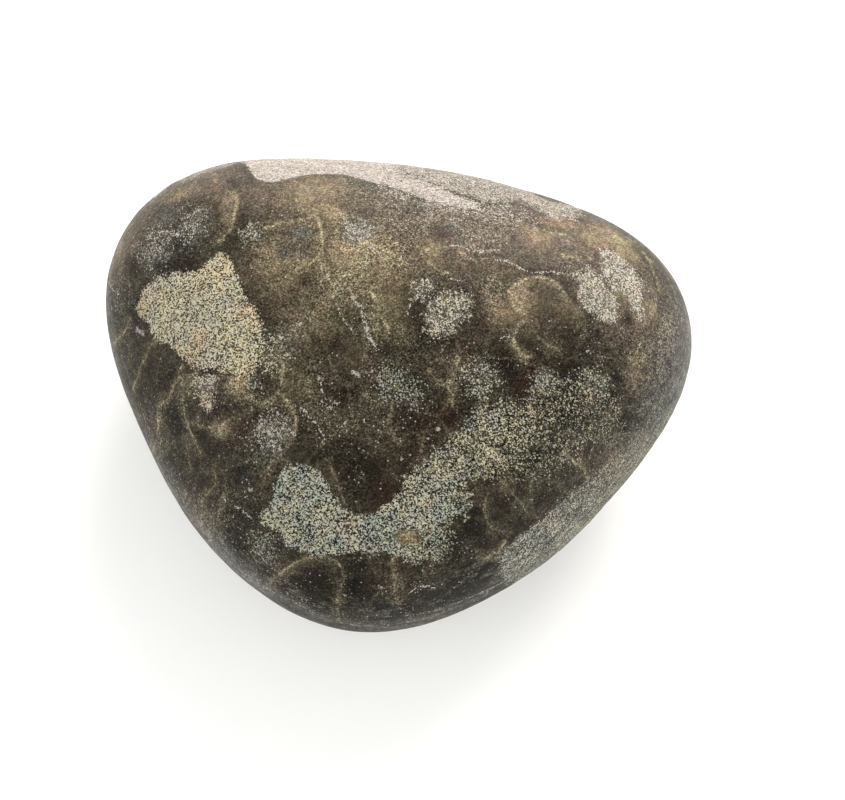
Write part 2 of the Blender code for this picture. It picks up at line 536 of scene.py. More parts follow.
# %% Wall lines in px of the photo, each with its strength, then strings of beads
WALL_LINES = (
    # strength, then places
    (0.5, ((548, 552), (575, 530), (590, 515), (605, 498), (622, 479), (637, 460), (647, 445), (661, 420))),
    (0.6, ((290, 600), (310, 611), (333, 620), (360, 626), (388, 627), (410, 622), (440, 614), (468, 602))),
    (0.9, ((266, 227), (275, 225), (290, 221), (305, 219), (312, 216), (318, 209))),
    (0.95, ((318, 215), (320, 225), (323, 233), (324, 243), (322, 253), (320, 260), (325, 270),
           (329, 279))),
    (1.0, ((285, 278), (291, 271), (300, 268), (310, 263), (319, 258))),
    (0.9, ((236, 193), (238, 200), (234, 215), (232, 227), (227, 233), (221, 240))),
    (0.15, ((148, 190), (159, 190), (175, 192), (195, 191), (215, 188))),
    (1.0, ((367, 276), (370, 290), (374, 297), (378, 304))),
    (1.0, ((366, 314), (372, 313), (380, 316), (385, 322), (388, 330))),
    (1.0, ((341, 276), (354, 272), (365, 266), (376, 256), (382, 248), (391, 237))),
    (0.6, ((155, 342), (149, 347), (145, 358), (140, 368), (137, 378), (133, 388))),
    (0.8, ((181, 368), (178, 378), (174, 386), (170, 395), (165, 402), (159, 405), (157, 413), (158, 425))),
    (0.75, ((158, 425), (156, 440), (152, 455), (153, 470))),
    (0.65, ((193, 374), (185, 382), (182, 395), (183, 405), (185, 415), (188, 425), (191, 433),
           (195, 441), (199, 450))),
    (0.55, ((190, 422), (199, 426), (206, 428), (214, 428), (220, 426), (227, 420), (236, 416),
           (248, 409))),
    (1.0, ((250, 398), (257, 402), (264, 402), (271, 398), (280, 393), (284, 385))),
    (0.65, ((283, 396), (288, 403), (293, 411), (295, 420), (294, 430), (292, 437), (288, 445))),
    (0.4, ((279, 457), (272, 463), (266, 471), (264, 479))),
    (0.3, ((328, 462), (331, 468), (335, 478), (339, 489), (344, 500))),
    (0.35, ((363, 393), (370, 399), (380, 402), (390, 401), (392, 410), (390, 420), (390, 429),
           (395, 435), (402, 442))),
    (0.7, ((280, 572), (286, 568), (293, 565), (300, 559), (312, 556), (325, 557), (336, 561), (342, 568))),
    (0.3, ((342, 568), (343, 580), (339, 592), (337, 605), (339, 618))),
    (0.55, ((393, 562), (394, 578), (394, 592), (397, 603))),
    (0.3, ((401, 575), (403, 590), (403, 602))),
    (0.95, ((502, 285), (504, 293), (509, 302), (517, 308), (524, 311), (527, 316), (525, 320),
           (518, 326), (514, 336), (516, 346), (522, 354), (528, 356))),
    (0.5, ((524, 311), (531, 326), (540, 338), (548, 345), (556, 349))),
    (0.9, ((509, 287), (516, 283), (523, 280), (532, 277), (542, 276), (551, 278), (559, 284), (565, 291))),
    (0.15, ((563, 291), (574, 292), (586, 300), (587, 314))),
    (1.0, ((520, 222), (535, 227), (550, 232), (563, 233))),
    (0.65, ((415, 250), (430, 249), (445, 248), (456, 248), (464, 255), (475, 261))),
    (0.85, ((431, 265), (437, 269), (446, 272))),
    (0.55, ((430, 372), (437, 380), (446, 386), (452, 394), (453, 402))),
    (0.25, ((435, 362), (440, 358), (447, 361))),
    (0.85, ((457, 360), (456, 370), (451, 382))),
    (1.0, ((565, 256), (575, 258), (587, 258))),
    (0.25, ((590, 270), (594, 267), (600, 267), (607, 266))),
    (1.0, ((644, 253), (650, 261), (655, 275), (659, 288))),
    (0.7, ((565, 453), (572, 461), (581, 466), (586, 473), (589, 480))),
    (0.4, ((505, 482), (510, 490), (516, 497), (522, 504), (528, 514))),
    (0.4, ((487, 498), (485, 506), (486, 514), (488, 522), (495, 530), (508, 532))),
    (0.5, ((215, 474), (216, 483), (212, 488), (207, 493), (202, 501), (201, 513))),
    (1.0, ((262, 357), (270, 356), (280, 356), (293, 357))),
    (0.7, ((282, 358), (283, 375), (281, 392))),
    (0.7, ((128, 322), (124, 332), (116, 341), (110, 349))),
    (1.0, ((480, 558), (490, 556), (497, 552), (503, 544))),
    (0.35, ((185, 440), (188, 455), (190, 468))),
)
BEAD_STRENGTH = -1.0
BEADS = (
    ((299, 606), (316, 614), (333, 620), (352, 625), (375, 627), (395, 625), (409, 622)),
    ((409, 616), (430, 612), (455, 604), (485, 591), (505, 582)),
    ((240, 571), (256, 582), (270, 591), (284, 599)),
    ((500, 260), (508, 261), (515, 265), (520, 268), (527, 271), (535, 272), (543, 272), (552, 271)),
    ((445, 249), (452, 247), (460, 246), (470, 250), (485, 251), (495, 250)),
    ((407, 311), (412, 304), (417, 297)),
    ((362, 308), (363, 318), (366, 328), (368, 336), (373, 343)),
    ((338, 308), (343, 318), (350, 328)),
    ((224, 500), (231, 506), (239, 507), (245, 513), (250, 518)),
    ((320, 380), (322, 392), (328, 399), (334, 402)),
    ((452, 278), (463, 280)),
    ((560, 274), (570, 274), (582, 276)),
    ((304, 410), (313, 421), (321, 432)),
    # A painted highlight: the glint line on the left edge, drawn as a string of white beads.
    ((108, 281), (112, 288), (117, 294)),
    ((160, 231), (167, 231), (173, 234), (181, 235)),
    ((413, 591), (420, 587), (432, 587)),
    ((471, 602), (478, 600), (485, 595)),
    ((262, 357), (270, 356), (280, 357), (293, 358)),
)


def nearest_line(lines, reach):
    """For each point, of the nearest line: how far left of it, the distance, and the line's strength."""
    side, gap = np.full((2, len(surface)), FAR_AWAY)
    strength = np.zeros(len(surface))
    for line_strength, line in lines:
        path = lift(rounded(line, closed=False))
        points = near(path, reach)
        new_gap, new_side = offset_to_path(surface[points], normals[points], path, closed=False)
        nearer = new_gap < gap[points]
        gap[points[nearer]] = new_gap[nearer]
        side[points[nearer]] = new_side[nearer]
        strength[points[nearer]] = line_strength
    return np.column_stack([side, gap, strength])


wall = nearest_line(WALL_LINES + tuple((BEAD_STRENGTH, line) for line in BEADS), reach=3)
print("wall lines:", len(WALL_LINES), "strings of beads:", len(BEADS))

# %% [markdown]
# ## The rims of the cups
# Where one cup's filling stands against the next, the rim is a small step, lit on one side and shaded on
# the other. The mesh has no such step, so that light and shade are painted: lighter on one side of a line
# and darker on the other. A pale line can't show that, but the side that each point keeps can, so the rims
# are kept as the walls are, and the material makes the tone jump where the side changes.

# %% Edges of cups, with painted light on the right-hand side of the line and painted shade on the left
CUP_EDGES = (
    # strength, then places
    (0.7, ((232, 186), (238, 195), (236, 210), (233, 225), (226, 236), (218, 243))),
    (1.0, ((509, 300), (508, 290), (516, 283), (524, 279), (534, 276), (545, 277), (556, 282), (564, 290),
           (571, 300), (580, 308), (586, 318), (588, 332))),
    (0.6, ((512, 222), (530, 226), (548, 231), (566, 234), (580, 242))),
    (0.6, ((640, 256), (648, 266), (653, 280), (658, 296), (656, 312), (648, 324))),
    (0.8, ((278, 574), (288, 566), (300, 559), (314, 556), (328, 557), (340, 563), (346, 575), (344, 590))),
    (0.7, ((372, 398), (380, 403), (391, 402), (394, 414), (392, 428), (400, 440))),
    (0.6, ((183, 405), (187, 422), (193, 436), (202, 450), (214, 456), (228, 456))),
    (0.6, ((300, 470), (312, 462), (326, 462), (336, 472), (340, 488), (346, 500))),
    (0.6, ((272, 400), (284, 396), (294, 404), (299, 418), (297, 434), (290, 446))),
    (0.5, ((318, 215), (323, 230), (323, 246), (327, 262), (334, 276))),
    (0.6, ((492, 346), (504, 340), (516, 341), (526, 350), (530, 364))),
)

cup_side = nearest_line(CUP_EDGES, reach=5)
print("edges of cups:", len(CUP_EDGES))

# %% [markdown]
# ## Soft stains and painted light
# The stone between the walls is clear enough to see a little way in. Where a wall lies shallow it glows
# amber, and where the cup is deep it is nearly black, or maroon from iron. These stains have no edge, so
# soft spots give them: each fades with distance as a bell curve. Haze is partly the milky veil of worn spots
# and partly a painted sheen, the soft reflection of the light behind the stone. Dark is partly deep cups and
# partly painted shade along the lower limb. Cool is partly a grey bloom and partly a painted highlight along
# the right rim. On the sides that the picture hides, slow waves take their place.
#
# The grains of the patches have stains of their own: rust from iron, slate grey, and straw yellow.

# %% Soft spots: centre and radius in px of the photo, and strength
AMBER = (
    (408, 538, 12, 0.85), (355, 255, 36, 1), (280, 262, 30, 0.6), (300, 320, 26, 0.3),
    (395, 265, 26, 0.35), (510, 300, 22, 1), (320, 190, 34, 0.65), (238, 385, 12, 1), (229, 200, 9, 0.6),
    (227, 218, 9, 0.25), (155, 198, 9, 0.25), (178, 194, 9, 0.65), (322, 212, 12, 1), (335, 215, 12, 0.8),
    (330, 240, 12, 0.45), (385, 248, 11, 1), (390, 300, 17, 0.3), (590, 240, 9, 1), (612, 238, 16, 1),
    (625, 252, 10, 1), (535, 235, 14, 0.85), (560, 222, 14, 0.75), (500, 312, 11, 0.15),
    (574, 312, 13, 0.1), (620, 293, 7, 0.6), (655, 315, 12, 0.45), (637, 362, 9, 0.4), (635, 380, 8, 0.4),
    (220, 430, 7, 0.8), (478, 492, 9, 0.15), (505, 486, 7, 0.25), (340, 600, 7, 0.65),
    (120, 250, 8, 0.75), (430, 250, 12, 0.7),
)
OLIVE = (
    (330, 318, 22, 1), (355, 352, 14, 0.4), (345, 296, 16, 1), (380, 322, 18, 1), (402, 330, 14, 1),
    (280, 365, 14, 1), (300, 392, 16, 1), (330, 420, 18, 0.5), (165, 435, 8, 1), (185, 385, 9, 1),
    (570, 308, 12, 1), (490, 510, 8, 0.25), (510, 515, 11, 0.35), (430, 575, 9, 0.85),
    (638, 355, 11, 0.75), (290, 345, 20, 0.65), (450, 268, 14, 0.6),
)
MAROON = (
    (530, 290, 10, 1), (548, 283, 8, 0.4), (577, 335, 8, 0.2), (505, 355, 10, 1), (467, 352, 8, 1),
    (522, 380, 12, 1), (437, 238, 12, 0.9), (328, 190, 12, 0.4), (272, 264, 5, 1), (352, 390, 14, 0.4),
    (383, 492, 18, 1), (425, 428, 22, 1), (445, 415, 12, 1), (210, 452, 12, 0.5), (145, 383, 10, 0.6),
    (375, 583, 14, 1), (480, 560, 12, 1), (242, 550, 10, 1), (592, 398, 8, 0.55), (565, 445, 10, 1),
    (264, 479, 5, 1), (607, 337, 6, 0.25), (187, 357, 7, 1), (612, 282, 5, 0.25), (542, 298, 14, 0.6),
    (520, 248, 30, 0.12),
)
# Dark is partly deep cups and partly painted shade: the large spots along the lower limb darken it where the
# stone turns under, away from the light.
DARK = (
    (472, 584, 15, 0.8), (446, 597, 12, 0.6), (364, 563, 8, 0.95), (128, 240, 22, 0.45),
    (575, 395, 30, 1), (550, 420, 24, 0.4), (330, 600, 36, 0.8), (400, 612, 40, 1), (470, 594, 34, 1),
    (520, 575, 22, 1), (425, 425, 24, 0.3), (500, 360, 24, 0.65), (190, 218, 12, 1), (188, 238, 10, 1),
    (152, 246, 12, 1), (133, 266, 9, 1), (285, 252, 9, 0.2), (303, 250, 8, 0.45), (308, 280, 8, 0.7),
    (365, 213, 10, 0.45), (452, 230, 6, 0.4), (512, 222, 2.5, 0.1), (415, 318, 9, 0.55),
    (420, 336, 9, 0.45), (345, 397, 12, 0.55), (172, 375, 8, 0.8), (172, 410, 9, 0.7), (175, 426, 9, 1),
    (172, 450, 10, 0.4), (240, 472, 13, 0.9), (250, 487, 9, 0.35), (233, 530, 12, 0.3), (238, 547, 10, 1),
    (272, 552, 8, 1), (305, 582, 14, 1), (290, 592, 12, 1), (320, 576, 10, 0.8), (355, 590, 12, 0.95),
    (500, 568, 8, 1), (450, 545, 9, 1), (470, 530, 14, 0.8), (478, 512, 9, 1), (505, 508, 11, 0.5),
    (535, 460, 8, 1), (545, 496, 12, 0.65), (565, 365, 11, 0.5), (576, 376, 8, 1), (612, 396, 7, 1),
    (617, 378, 6, 1), (605, 405, 8, 0.25), (628, 318, 7, 1), (413, 392, 10, 1), (385, 352, 8, 0.65),
    (340, 455, 12, 0.3), (355, 462, 12, 0.6), (372, 470, 12, 0.7), (475, 390, 12, 1), (265, 440, 10, 1),
    (625, 425, 10, 0.95), (330, 345, 14, 0.6), (400, 455, 10, 0.2), (310, 605, 12, 0.95),
    (520, 575, 9, 0.25),
)
# Haze is partly the milky veil of worn spots and partly a painted sheen: the broad spots over the upper right
# and along the far edge stand in for the soft reflection of the light behind the stone, and the spot at the
# right edge for a rim highlight.
HAZE_AND_SHEEN = (
    (400, 225, 14, 1), (440, 240, 14, 1), (370, 245, 12, 0.3), (420, 270, 14, 0.25), (405, 164, 10, 0.55),
    (420, 169, 10, 0.35), (436, 175, 10, 0.2), (452, 181, 10, 0.15), (468, 187, 10, 0.25),
    (485, 194, 10, 0.9), (684, 350, 12, 1), (505, 192, 12, 0.5), (600, 228, 10, 0.2),
    (320, 190, 24, 0.85), (380, 205, 24, 0.85), (430, 215, 20, 1), (548, 300, 20, 0.6), (560, 232, 50, 1),
    (470, 238, 48, 1), (640, 300, 34, 1), (300, 192, 30, 0.95), (664, 350, 26, 0.1), (205, 180, 30, 1),
    (600, 275, 36, 0.65), (625, 465, 18, 1), (250, 195, 24, 1), (180, 490, 9, 0.15), (198, 522, 9, 1),
    (130, 235, 14, 1),
)
# Cool is partly a grey bloom and partly a painted rim highlight: the spots at the right edge stand in for the
# pale reflection along that rim.
COOL_AND_RIM_GLINT = (
    (686, 350, 10, 0.7), (684, 318, 9, 0.3), (680, 385, 10, 0.6), (108, 300, 6, 0.3),
    (165, 215, 10, 0.65), (190, 232, 12, 1), (152, 250, 11, 1), (301, 232, 8, 0.9), (304, 253, 7, 0.55),
    (284, 253, 7, 1), (358, 231, 13, 1), (452, 226, 6, 0.6), (505, 570, 8, 0.85), (270, 445, 14, 0.6),
    (245, 478, 8, 0.5), (170, 490, 10, 0.9), (230, 565, 9, 1), (285, 340, 12, 0.55), (660, 425, 12, 0.9),
    (435, 470, 12, 1),
)
print("soft spots:", sum(len(spots) for spots in (AMBER, OLIVE, MAROON, DARK, HAZE_AND_SHEEN, COOL_AND_RIM_GLINT)))

# %% A pale frost of scratches along the lower limb: places in px
LOWER_LIMB = (
    (222, 556), (234, 566), (246, 575), (258, 584), (270, 591), (284, 599), (299, 606), (312, 612),
    (325, 617), (340, 622), (356, 625), (372, 627), (388, 627), (404, 624), (420, 620), (436, 615),
    (452, 608), (468, 602), (484, 595), (500, 587), (516, 579), (532, 570),
)
FROST_PX = 6
FROST_STRENGTH = 0.75
FROST = tuple((x, y, FROST_PX, FROST_STRENGTH) for x, y in LOWER_LIMB)
print("spots of frost:", len(FROST))

# %% Stains in the sand of the patches: centre and radius in px, and strength
RUST = (
    (141, 306, 7, 0.7), (199, 285, 7, 0.6), (247, 310, 9, 0.8), (257, 323, 8, 0.6), (198, 337, 7, 0.9),
    (187, 362, 9, 0.9), (249, 371, 7, 0.8), (203, 395, 9, 0.6), (345, 528, 8, 0.4), (455, 525, 9, 0.5),
    (440, 470, 9, 0.4), (530, 412, 10, 0.4), (590, 395, 9, 0.7),
)
SLATE = (
    (197, 315, 14, 0.8), (170, 325, 8, 0.5), (228, 300, 8, 0.5), (232, 340, 8, 0.4), (210, 352, 7, 0.5),
    (300, 480, 12, 0.4), (385, 535, 12, 0.5), (440, 500, 12, 0.5), (610, 290, 9, 0.5),
)
STRAW = (
    (222, 263, 11, 0.8), (165, 297, 11, 0.6), (228, 336, 10, 0.6), (240, 355, 9, 0.6), (215, 280, 9, 0.5),
    (330, 505, 10, 0.5), (420, 545, 10, 0.5), (478, 470, 12, 0.6), (505, 440, 12, 0.5),
)
print("stains in the sand:", len(RUST + SLATE + STRAW))

# %% What the spots add up to
SPOT_REACH = 3
WAVE_COUNT = 20
WAVE_LENGTHS = (0.7, 1.5)
WAVE_SWING = 1.6


def soft_spots(spots):
    """One minus the product of (1 - strength * exp(-(distance / radius)**2)): spots add up, under 1."""
    left = np.ones(len(surface))
    for x, y, radius_px, strength in spots:
        centre, radius = px_to_mm(x, y, radius_px)
        points = near(centre[None], SPOT_REACH * radius)
        distance = np.linalg.norm(surface[points] - centre, axis=1)
        left[points] *= 1 - strength * np.exp(-((distance / radius) ** 2))
    return 1 - left


def slow_waves(size, seed):
    """The mean of plane waves with seeded directions, phases and lengths near a size in mm, as 0 to 1."""
    random = np.random.default_rng(seed)
    heading = random.normal(size=(WAVE_COUNT, 3))
    heading /= np.linalg.norm(heading, axis=1)[:, None]
    length = size * random.uniform(*WAVE_LENGTHS, WAVE_COUNT)
    phase = random.uniform(0, 2 * math.pi, WAVE_COUNT)
    total = np.cos(surface @ (heading * (2 * math.pi / length)[:, None]).T + phase).mean(axis=1)
    return np.clip(0.5 + WAVE_SWING * total, 0, 1)


def stain(spots, wave_size, wave_seed, share, strength):
    """The soft spots where the picture shows the stone, and on the hidden sides the waves' upper share."""
    waves = np.clip((slow_waves(wave_size, wave_seed) - 1 + share) / share, 0, 1)
    return soft_spots(spots) * seen + (1 - seen) * strength * waves


SOFT_STAINS_AND_LIGHT = (
    # name, spots, size of the waves in mm, their seed, their share of the hidden sides, strength there
    ("amber", AMBER, 11, 1, 0.4, 0.7),
    ("olive", OLIVE, 12, 2, 0.5, 0.6),
    ("maroon", MAROON, 10, 3, 0.4, 0.7),
    ("dark", DARK, 8, 4, 0.5, 0.8),
    ("haze", HAZE_AND_SHEEN, 30, 5, 0.6, 0.4),
    ("cool", COOL_AND_RIM_GLINT + FROST, 9, 6, 0.35, 0.4),
    ("rust", RUST, 7, 11, 0.35, 0.4),
    ("slate", SLATE, 8, 12, 0.4, 0.7),
    ("straw", STRAW, 7, 13, 0.4, 0.7),
)
stains_and_light = {name: stain(*row) for name, *row in SOFT_STAINS_AND_LIGHT}
print("mean stains:", {name: round(float(values.mean()), 2) for name, values in stains_and_light.items()})

# %% [markdown]
# ## Flecks and crystals
# White grains show through the calcite. Some zones are full of them and some are clear, and here and
# there a larger crystal catches the light. A crystal is smaller than the mesh's squares, so a distance
# would miss it. Each point keeps the whole step from the crystal's middle instead, in crystal radii,
# which passes evenly through zero there.

# %% Where the flecks are and aren't: centre and radius in px, and strength
FLECKS = (
    (330, 614, 12, 0.6), (375, 625, 12, 0.7), (420, 627, 12, 0.7), (460, 618, 12, 0.6),
    (500, 603, 12, 0.6), (540, 580, 11, 0.5), (290, 602, 12, 0.5), (250, 575, 12, 0.5),
    (215, 540, 11, 0.5), (180, 490, 10, 0.5), (150, 430, 9, 0.45), (350, 180, 10, 0.5),
    (375, 190, 12, 0.6), (400, 198, 12, 0.7), (425, 206, 12, 0.8), (450, 213, 12, 0.8),
    (475, 217, 12, 0.7), (500, 222, 12, 0.6), (400, 166, 8, 0.6), (430, 174, 9, 0.7), (460, 181, 9, 0.7),
    (490, 190, 9, 0.7), (193, 212, 10, 0.6), (190, 228, 10, 0.6), (190, 243, 9, 0.5), (152, 242, 11, 0.6),
    (156, 256, 10, 0.6), (250, 232, 10, 0.6), (356, 232, 14, 0.6), (372, 247, 9, 0.7), (398, 247, 9, 0.7),
    (365, 263, 6, 0.5), (400, 262, 7, 0.4), (385, 186, 18, 0.5), (400, 203, 16, 0.5), (370, 192, 12, 0.4),
    (418, 222, 16, 0.5), (395, 222, 12, 0.5), (430, 205, 14, 0.6), (472, 240, 14, 0.6),
    (480, 225, 10, 0.4), (490, 246, 12, 0.6), (500, 212, 12, 0.5), (460, 220, 8, 0.4),
    (575, 270, 12, 0.3), (330, 285, 12, 0.5), (345, 292, 12, 0.5), (355, 300, 10, 0.5),
    (366, 325, 9, 0.6), (374, 340, 8, 0.6), (283, 338, 10, 0.6), (275, 350, 10, 0.4), (318, 372, 10, 0.4),
    (325, 390, 8, 0.5), (368, 373, 9, 0.5), (390, 380, 18, 0.6), (406, 345, 12, 0.4), (415, 395, 14, 0.5),
    (442, 350, 10, 0.3), (430, 340, 9, 0.4), (490, 290, 9, 0.5), (480, 375, 20, 0.5), (508, 336, 7, 0.5),
    (545, 385, 14, 0.6), (590, 333, 9, 0.5), (627, 341, 9, 0.6), (652, 347, 9, 0.6), (668, 332, 10, 0.3),
    (655, 368, 14, 0.4), (600, 362, 9, 0.4), (594, 390, 19, 0.6), (562, 385, 10, 0.4),
    (270, 426, 15, 0.6), (280, 440, 9, 0.5), (262, 450, 12, 0.5), (245, 445, 8, 0.4), (240, 500, 14, 0.4),
    (260, 546, 12, 0.5), (310, 425, 14, 0.35), (330, 410, 14, 0.4), (352, 425, 22, 0.3),
    (325, 440, 10, 0.4), (358, 482, 7, 0.5), (350, 490, 7, 0.4), (428, 440, 9, 0.2), (425, 410, 10, 0.3),
    (400, 430, 10, 0.3), (384, 592, 7, 0.6), (350, 585, 6, 0.3), (362, 613, 12, 0.6), (400, 620, 14, 0.5),
    (422, 588, 8, 0.6), (445, 610, 20, 0.2), (300, 602, 10, 0.35), (440, 560, 12, 0.4),
    (465, 550, 9, 0.4), (550, 470, 12, 0.5), (575, 460, 10, 0.4), (622, 432, 12, 0.4),
    (642, 430, 12, 0.4), (165, 373, 8, 0.3), (178, 410, 9, 0.3), (118, 300, 9, 0.35),
    (230, 387, 14, 0.45), (455, 600, 16, 0.2), (500, 585, 14, 0.25), (640, 470, 16, 0.4),
)
CLEAR = (
    (228, 208, 14, 0.8), (355, 352, 12, 0.9), (548, 300, 18, 0.9), (575, 312, 12, 0.8),
    (526, 340, 10, 0.9), (510, 318, 12, 0.7), (383, 492, 14, 0.6), (388, 305, 12, 0.6),
    (332, 475, 9, 0.9), (300, 458, 16, 0.8), (150, 360, 12, 0.7), (192, 408, 9, 0.8), (440, 366, 9, 0.6),
    (522, 380, 9, 0.7), (292, 564, 8, 0.8), (505, 510, 14, 0.6), (620, 245, 16, 0.7), (540, 240, 14, 0.7),
    (510, 252, 12, 0.5), (338, 362, 9, 0.5), (220, 190, 20, 0.5), (415, 320, 8, 0.7), (560, 362, 9, 0.6),
    (200, 480, 16, 0.4), (385, 335, 9, 0.5), (445, 588, 12, 0.6), (470, 590, 14, 0.7),
    (495, 586, 11, 0.6),
)
print("zones full of flecks:", len(FLECKS), "clear zones:", len(CLEAR))

# %% The larger crystals: centre and radius in px
CRYSTALS = (
    (313, 313, 2.6), (299, 324, 3.2), (346, 222, 3.2), (354, 232, 3), (364, 231, 2.4), (250, 490, 3),
    (354, 372, 3), (358, 375, 2.6), (341, 284, 2.2), (337, 290, 2.2), (328, 277, 2.6), (366, 262, 3),
    (397, 243, 2.4), (401, 259, 2.6), (428, 439, 2), (438, 429, 2), (402, 459, 2), (477, 459, 2),
    (588, 351, 2), (660, 342, 2.2), (137, 331, 2), (142, 334, 2.2), (159, 193, 2.8), (256, 233, 2.4),
    (331, 408, 2), (345, 422, 2), (364, 421, 2), (287, 593, 1.8), (345, 595, 1.8), (382, 587, 2.4),
    (372, 371, 2.4), (360, 306, 2.2), (354, 298, 3), (367, 327, 3), (371, 338, 2.6), (503, 338, 2.2),
    (509, 337, 2.6), (514, 338, 2.4), (281, 338, 2.6), (188, 216, 2.4), (199, 210, 2), (193, 230, 2),
    (149, 236, 2.2), (159, 248, 2.4), (377, 247, 2.6), (370, 247, 2.2), (258, 428, 2.6), (268, 433, 3),
    (280, 448, 2.6), (452, 219, 2.6), (543, 272, 2), (425, 587, 2.4), (322, 401, 2), (640, 345, 1.8),
    (517, 480, 1.8),
)

# %% How dense the flecks are, and the way to the nearest crystal
LEAST_FLECKS = 0.08
HIDDEN_FLECKS = (0.1, 0.6)
FLECK_CONTRAST = (2, -0.9)
CRYSTAL_REACH = 4
# size in mm and seed
FLECK_WAVES = (6, 7)

fleck = (LEAST_FLECKS + (1 - LEAST_FLECKS) * soft_spots(FLECKS)) * (1 - soft_spots(CLEAR))
waves = np.clip(FLECK_CONTRAST[0] * slow_waves(*FLECK_WAVES) + FLECK_CONTRAST[1], 0, 1)
hidden_fleck = HIDDEN_FLECKS[0] + HIDDEN_FLECKS[1] * waves
fleck = fleck * seen + hidden_fleck * (1 - seen)
crystal = np.full((len(surface), 3), FAR_AWAY)
for x, y, radius_px in CRYSTALS:
    centre, radius = px_to_mm(x, y, radius_px)
    points = near(centre[None], CRYSTAL_REACH * radius)
    away = (surface[points] - centre) / radius
    nearer = np.linalg.norm(away, axis=1) < np.linalg.norm(crystal[points], axis=1)
    crystal[points[nearer]] = away[nearer]
print("crystals:", len(CRYSTALS), "mean fleck density:", round(float(fleck.mean()), 2))

# %% [markdown]
# ## Low relief
# Waves wear the grainy patches a little faster than the clear calcite, so they lie about a tenth of a
# millimetre lower and are uneven. Everything goes inwards from the pebble's form, so the stone never
# grows past its solid.

# %% Sink the patches and make the piece
SURFACE_SINK = 0.03
SURFACE_DIMPLE = 0.05
PATCH_SINK = 0.10
PATCH_UNEVEN = 0.06
PATCH_SLOPE = 0.6
STEEP_FROM = 0.8
STEEP_FADE = 0.5
# size in mm and seed
UNEVEN_WAVES = (1.6, 9)
DIMPLE_WAVES = (5, 8)

in_patch = np.clip(patch_depth / PATCH_SLOPE + 0.5, 0, 1) * patch_look[:, 2]
patch_sink = PATCH_SINK + PATCH_UNEVEN * slow_waves(*UNEVEN_WAVES)
sink = SURFACE_SINK + SURFACE_DIMPLE * slow_waves(*DIMPLE_WAVES) + in_patch * patch_sink
worn_surface = surface - normals * sink[:, None]
worn_surface[:, 2] = np.where(surface[:, 2] <= 0, 0, np.maximum(worn_surface[:, 2], 0))
stone_mesh.vertices.foreach_set("co", (worn_surface * MM).astype(np.float32).reshape(-1))
stone_mesh.update()


def keep(name, values):
    """Keeps one number or three at each point of the mesh, for the material to read."""
    values = np.asarray(values, dtype=np.float32)
    several = values.ndim == 2
    attribute = stone_mesh.attributes.new(name, "FLOAT_VECTOR" if several else "FLOAT", "POINT")
    attribute.data.foreach_set("vector" if several else "value", values.reshape(-1))


keep("patch_depth", patch_depth)
keep("patch_look", patch_look)
keep("wall", wall)
keep("cup_side", cup_side)
keep("fleck", fleck)
keep("crystal", crystal)
keep("seen", seen)
keep("steepness", np.clip((STEEP_FROM - normals[:, 2]) / STEEP_FADE, 0, 1))
for name, parts in (("warm_stain", ("amber", "olive", "maroon")), ("cold_stain_and_painted_light", ("dark", "haze", "cool")),
                    ("sand_stain", ("rust", "slate", "straw"))):
    keep(name, np.column_stack([stains_and_light[part] for part in parts]))

stone = bpy.data.objects.new("stone_skin", stone_mesh)
bpy.context.scene.collection.objects.link(stone)
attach(stone, "root")
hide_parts(STONE_NODE)
print("deepest relief in mm:", round(float(sink.max()), 3))

# %% [markdown]
# ## Colours and nodes
# Colours are read from the picture as sRGB hex values, and shaders work in linear light, so one function
# turns one into the other. One small function adds a node with its settings and its links. A Mix node has
# sockets for each type: it mixes numbers from 2 and 3 to output 0, and colours from 6 and 7 to output 2.

# %% Helpers for the material
def linear(hex_colour):
    """An sRGB hex colour as linear RGBA: c / 12.92 up to 0.04045, and ((c + 0.055) / 1.055) ** 2.4 above."""
    channels = [int(hex_colour[start:start + 2], 16) / 255 for start in (1, 3, 5)]
    return tuple(c / 12.92 if c <= 0.04045 else ((c + 0.055) / 1.055) ** 2.4 for c in channels) + (1.0,)


def per_mm(size):
    """The texture scale that makes a pattern's unit this many mm, as Object coordinates are in metres."""
    return 1 / (size * MM)


limestone = bpy.data.materials.new("water_worn_coral_limestone")
limestone.use_nodes = True
tree = limestone.node_tree
shader = tree.nodes["Principled BSDF"]
stone_mesh.materials.append(limestone)


def add(kind, inputs, **settings):
    """Adds a node and gives its outputs. Its inputs are values or sockets, by name or as a list in order."""
    made = tree.nodes.new("ShaderNode" + kind)
    for name, value in settings.items():
        setattr(made, name, value)
    for name, value in inputs.items() if isinstance(inputs, dict) else enumerate(inputs):
        if isinstance(value, bpy.types.NodeSocket):
            tree.links.new(value, made.inputs[name])
        else:
            made.inputs[name].default_value = value
    return made.outputs


print("the sheet's colour in linear light:", [round(c, 3) for c in linear("#f2f2f0")])

# %% What the material reads
place = add("TexCoord", {})["Object"]
depth_here, seen_here, fleck_here, steep_here = (
    add("Attribute", {}, attribute_name=name)["Fac"]
    for name in ("patch_depth", "seen", "fleck", "steepness"))
crystal_here = add("Attribute", {}, attribute_name="crystal")["Vector"]
look_here, wall_here, edge_here, warm_here, cold_here, sand_here = (
    add("SeparateXYZ", [add("Attribute", {}, attribute_name=name)["Vector"]])
    for name in ("patch_look", "wall", "cup_side", "warm_stain", "cold_stain_and_painted_light", "sand_stain"))
print("nodes that read the mesh:", len(tree.nodes))

# %% [markdown]
# ## The cups of the corals
# Each coral animal sat in a cup at the end of a column, wall to wall with its neighbours. Cut across, a
# column is a ring of thin plates round a dark eye; cut along, on the sides of the stone, it shows long
# streaks. A solid texture gives both at once: cells as wide as a cup, drawn out along one tilted axis. It
# is full on the sides that the picture hides, and faint where the real walls were read from the picture.

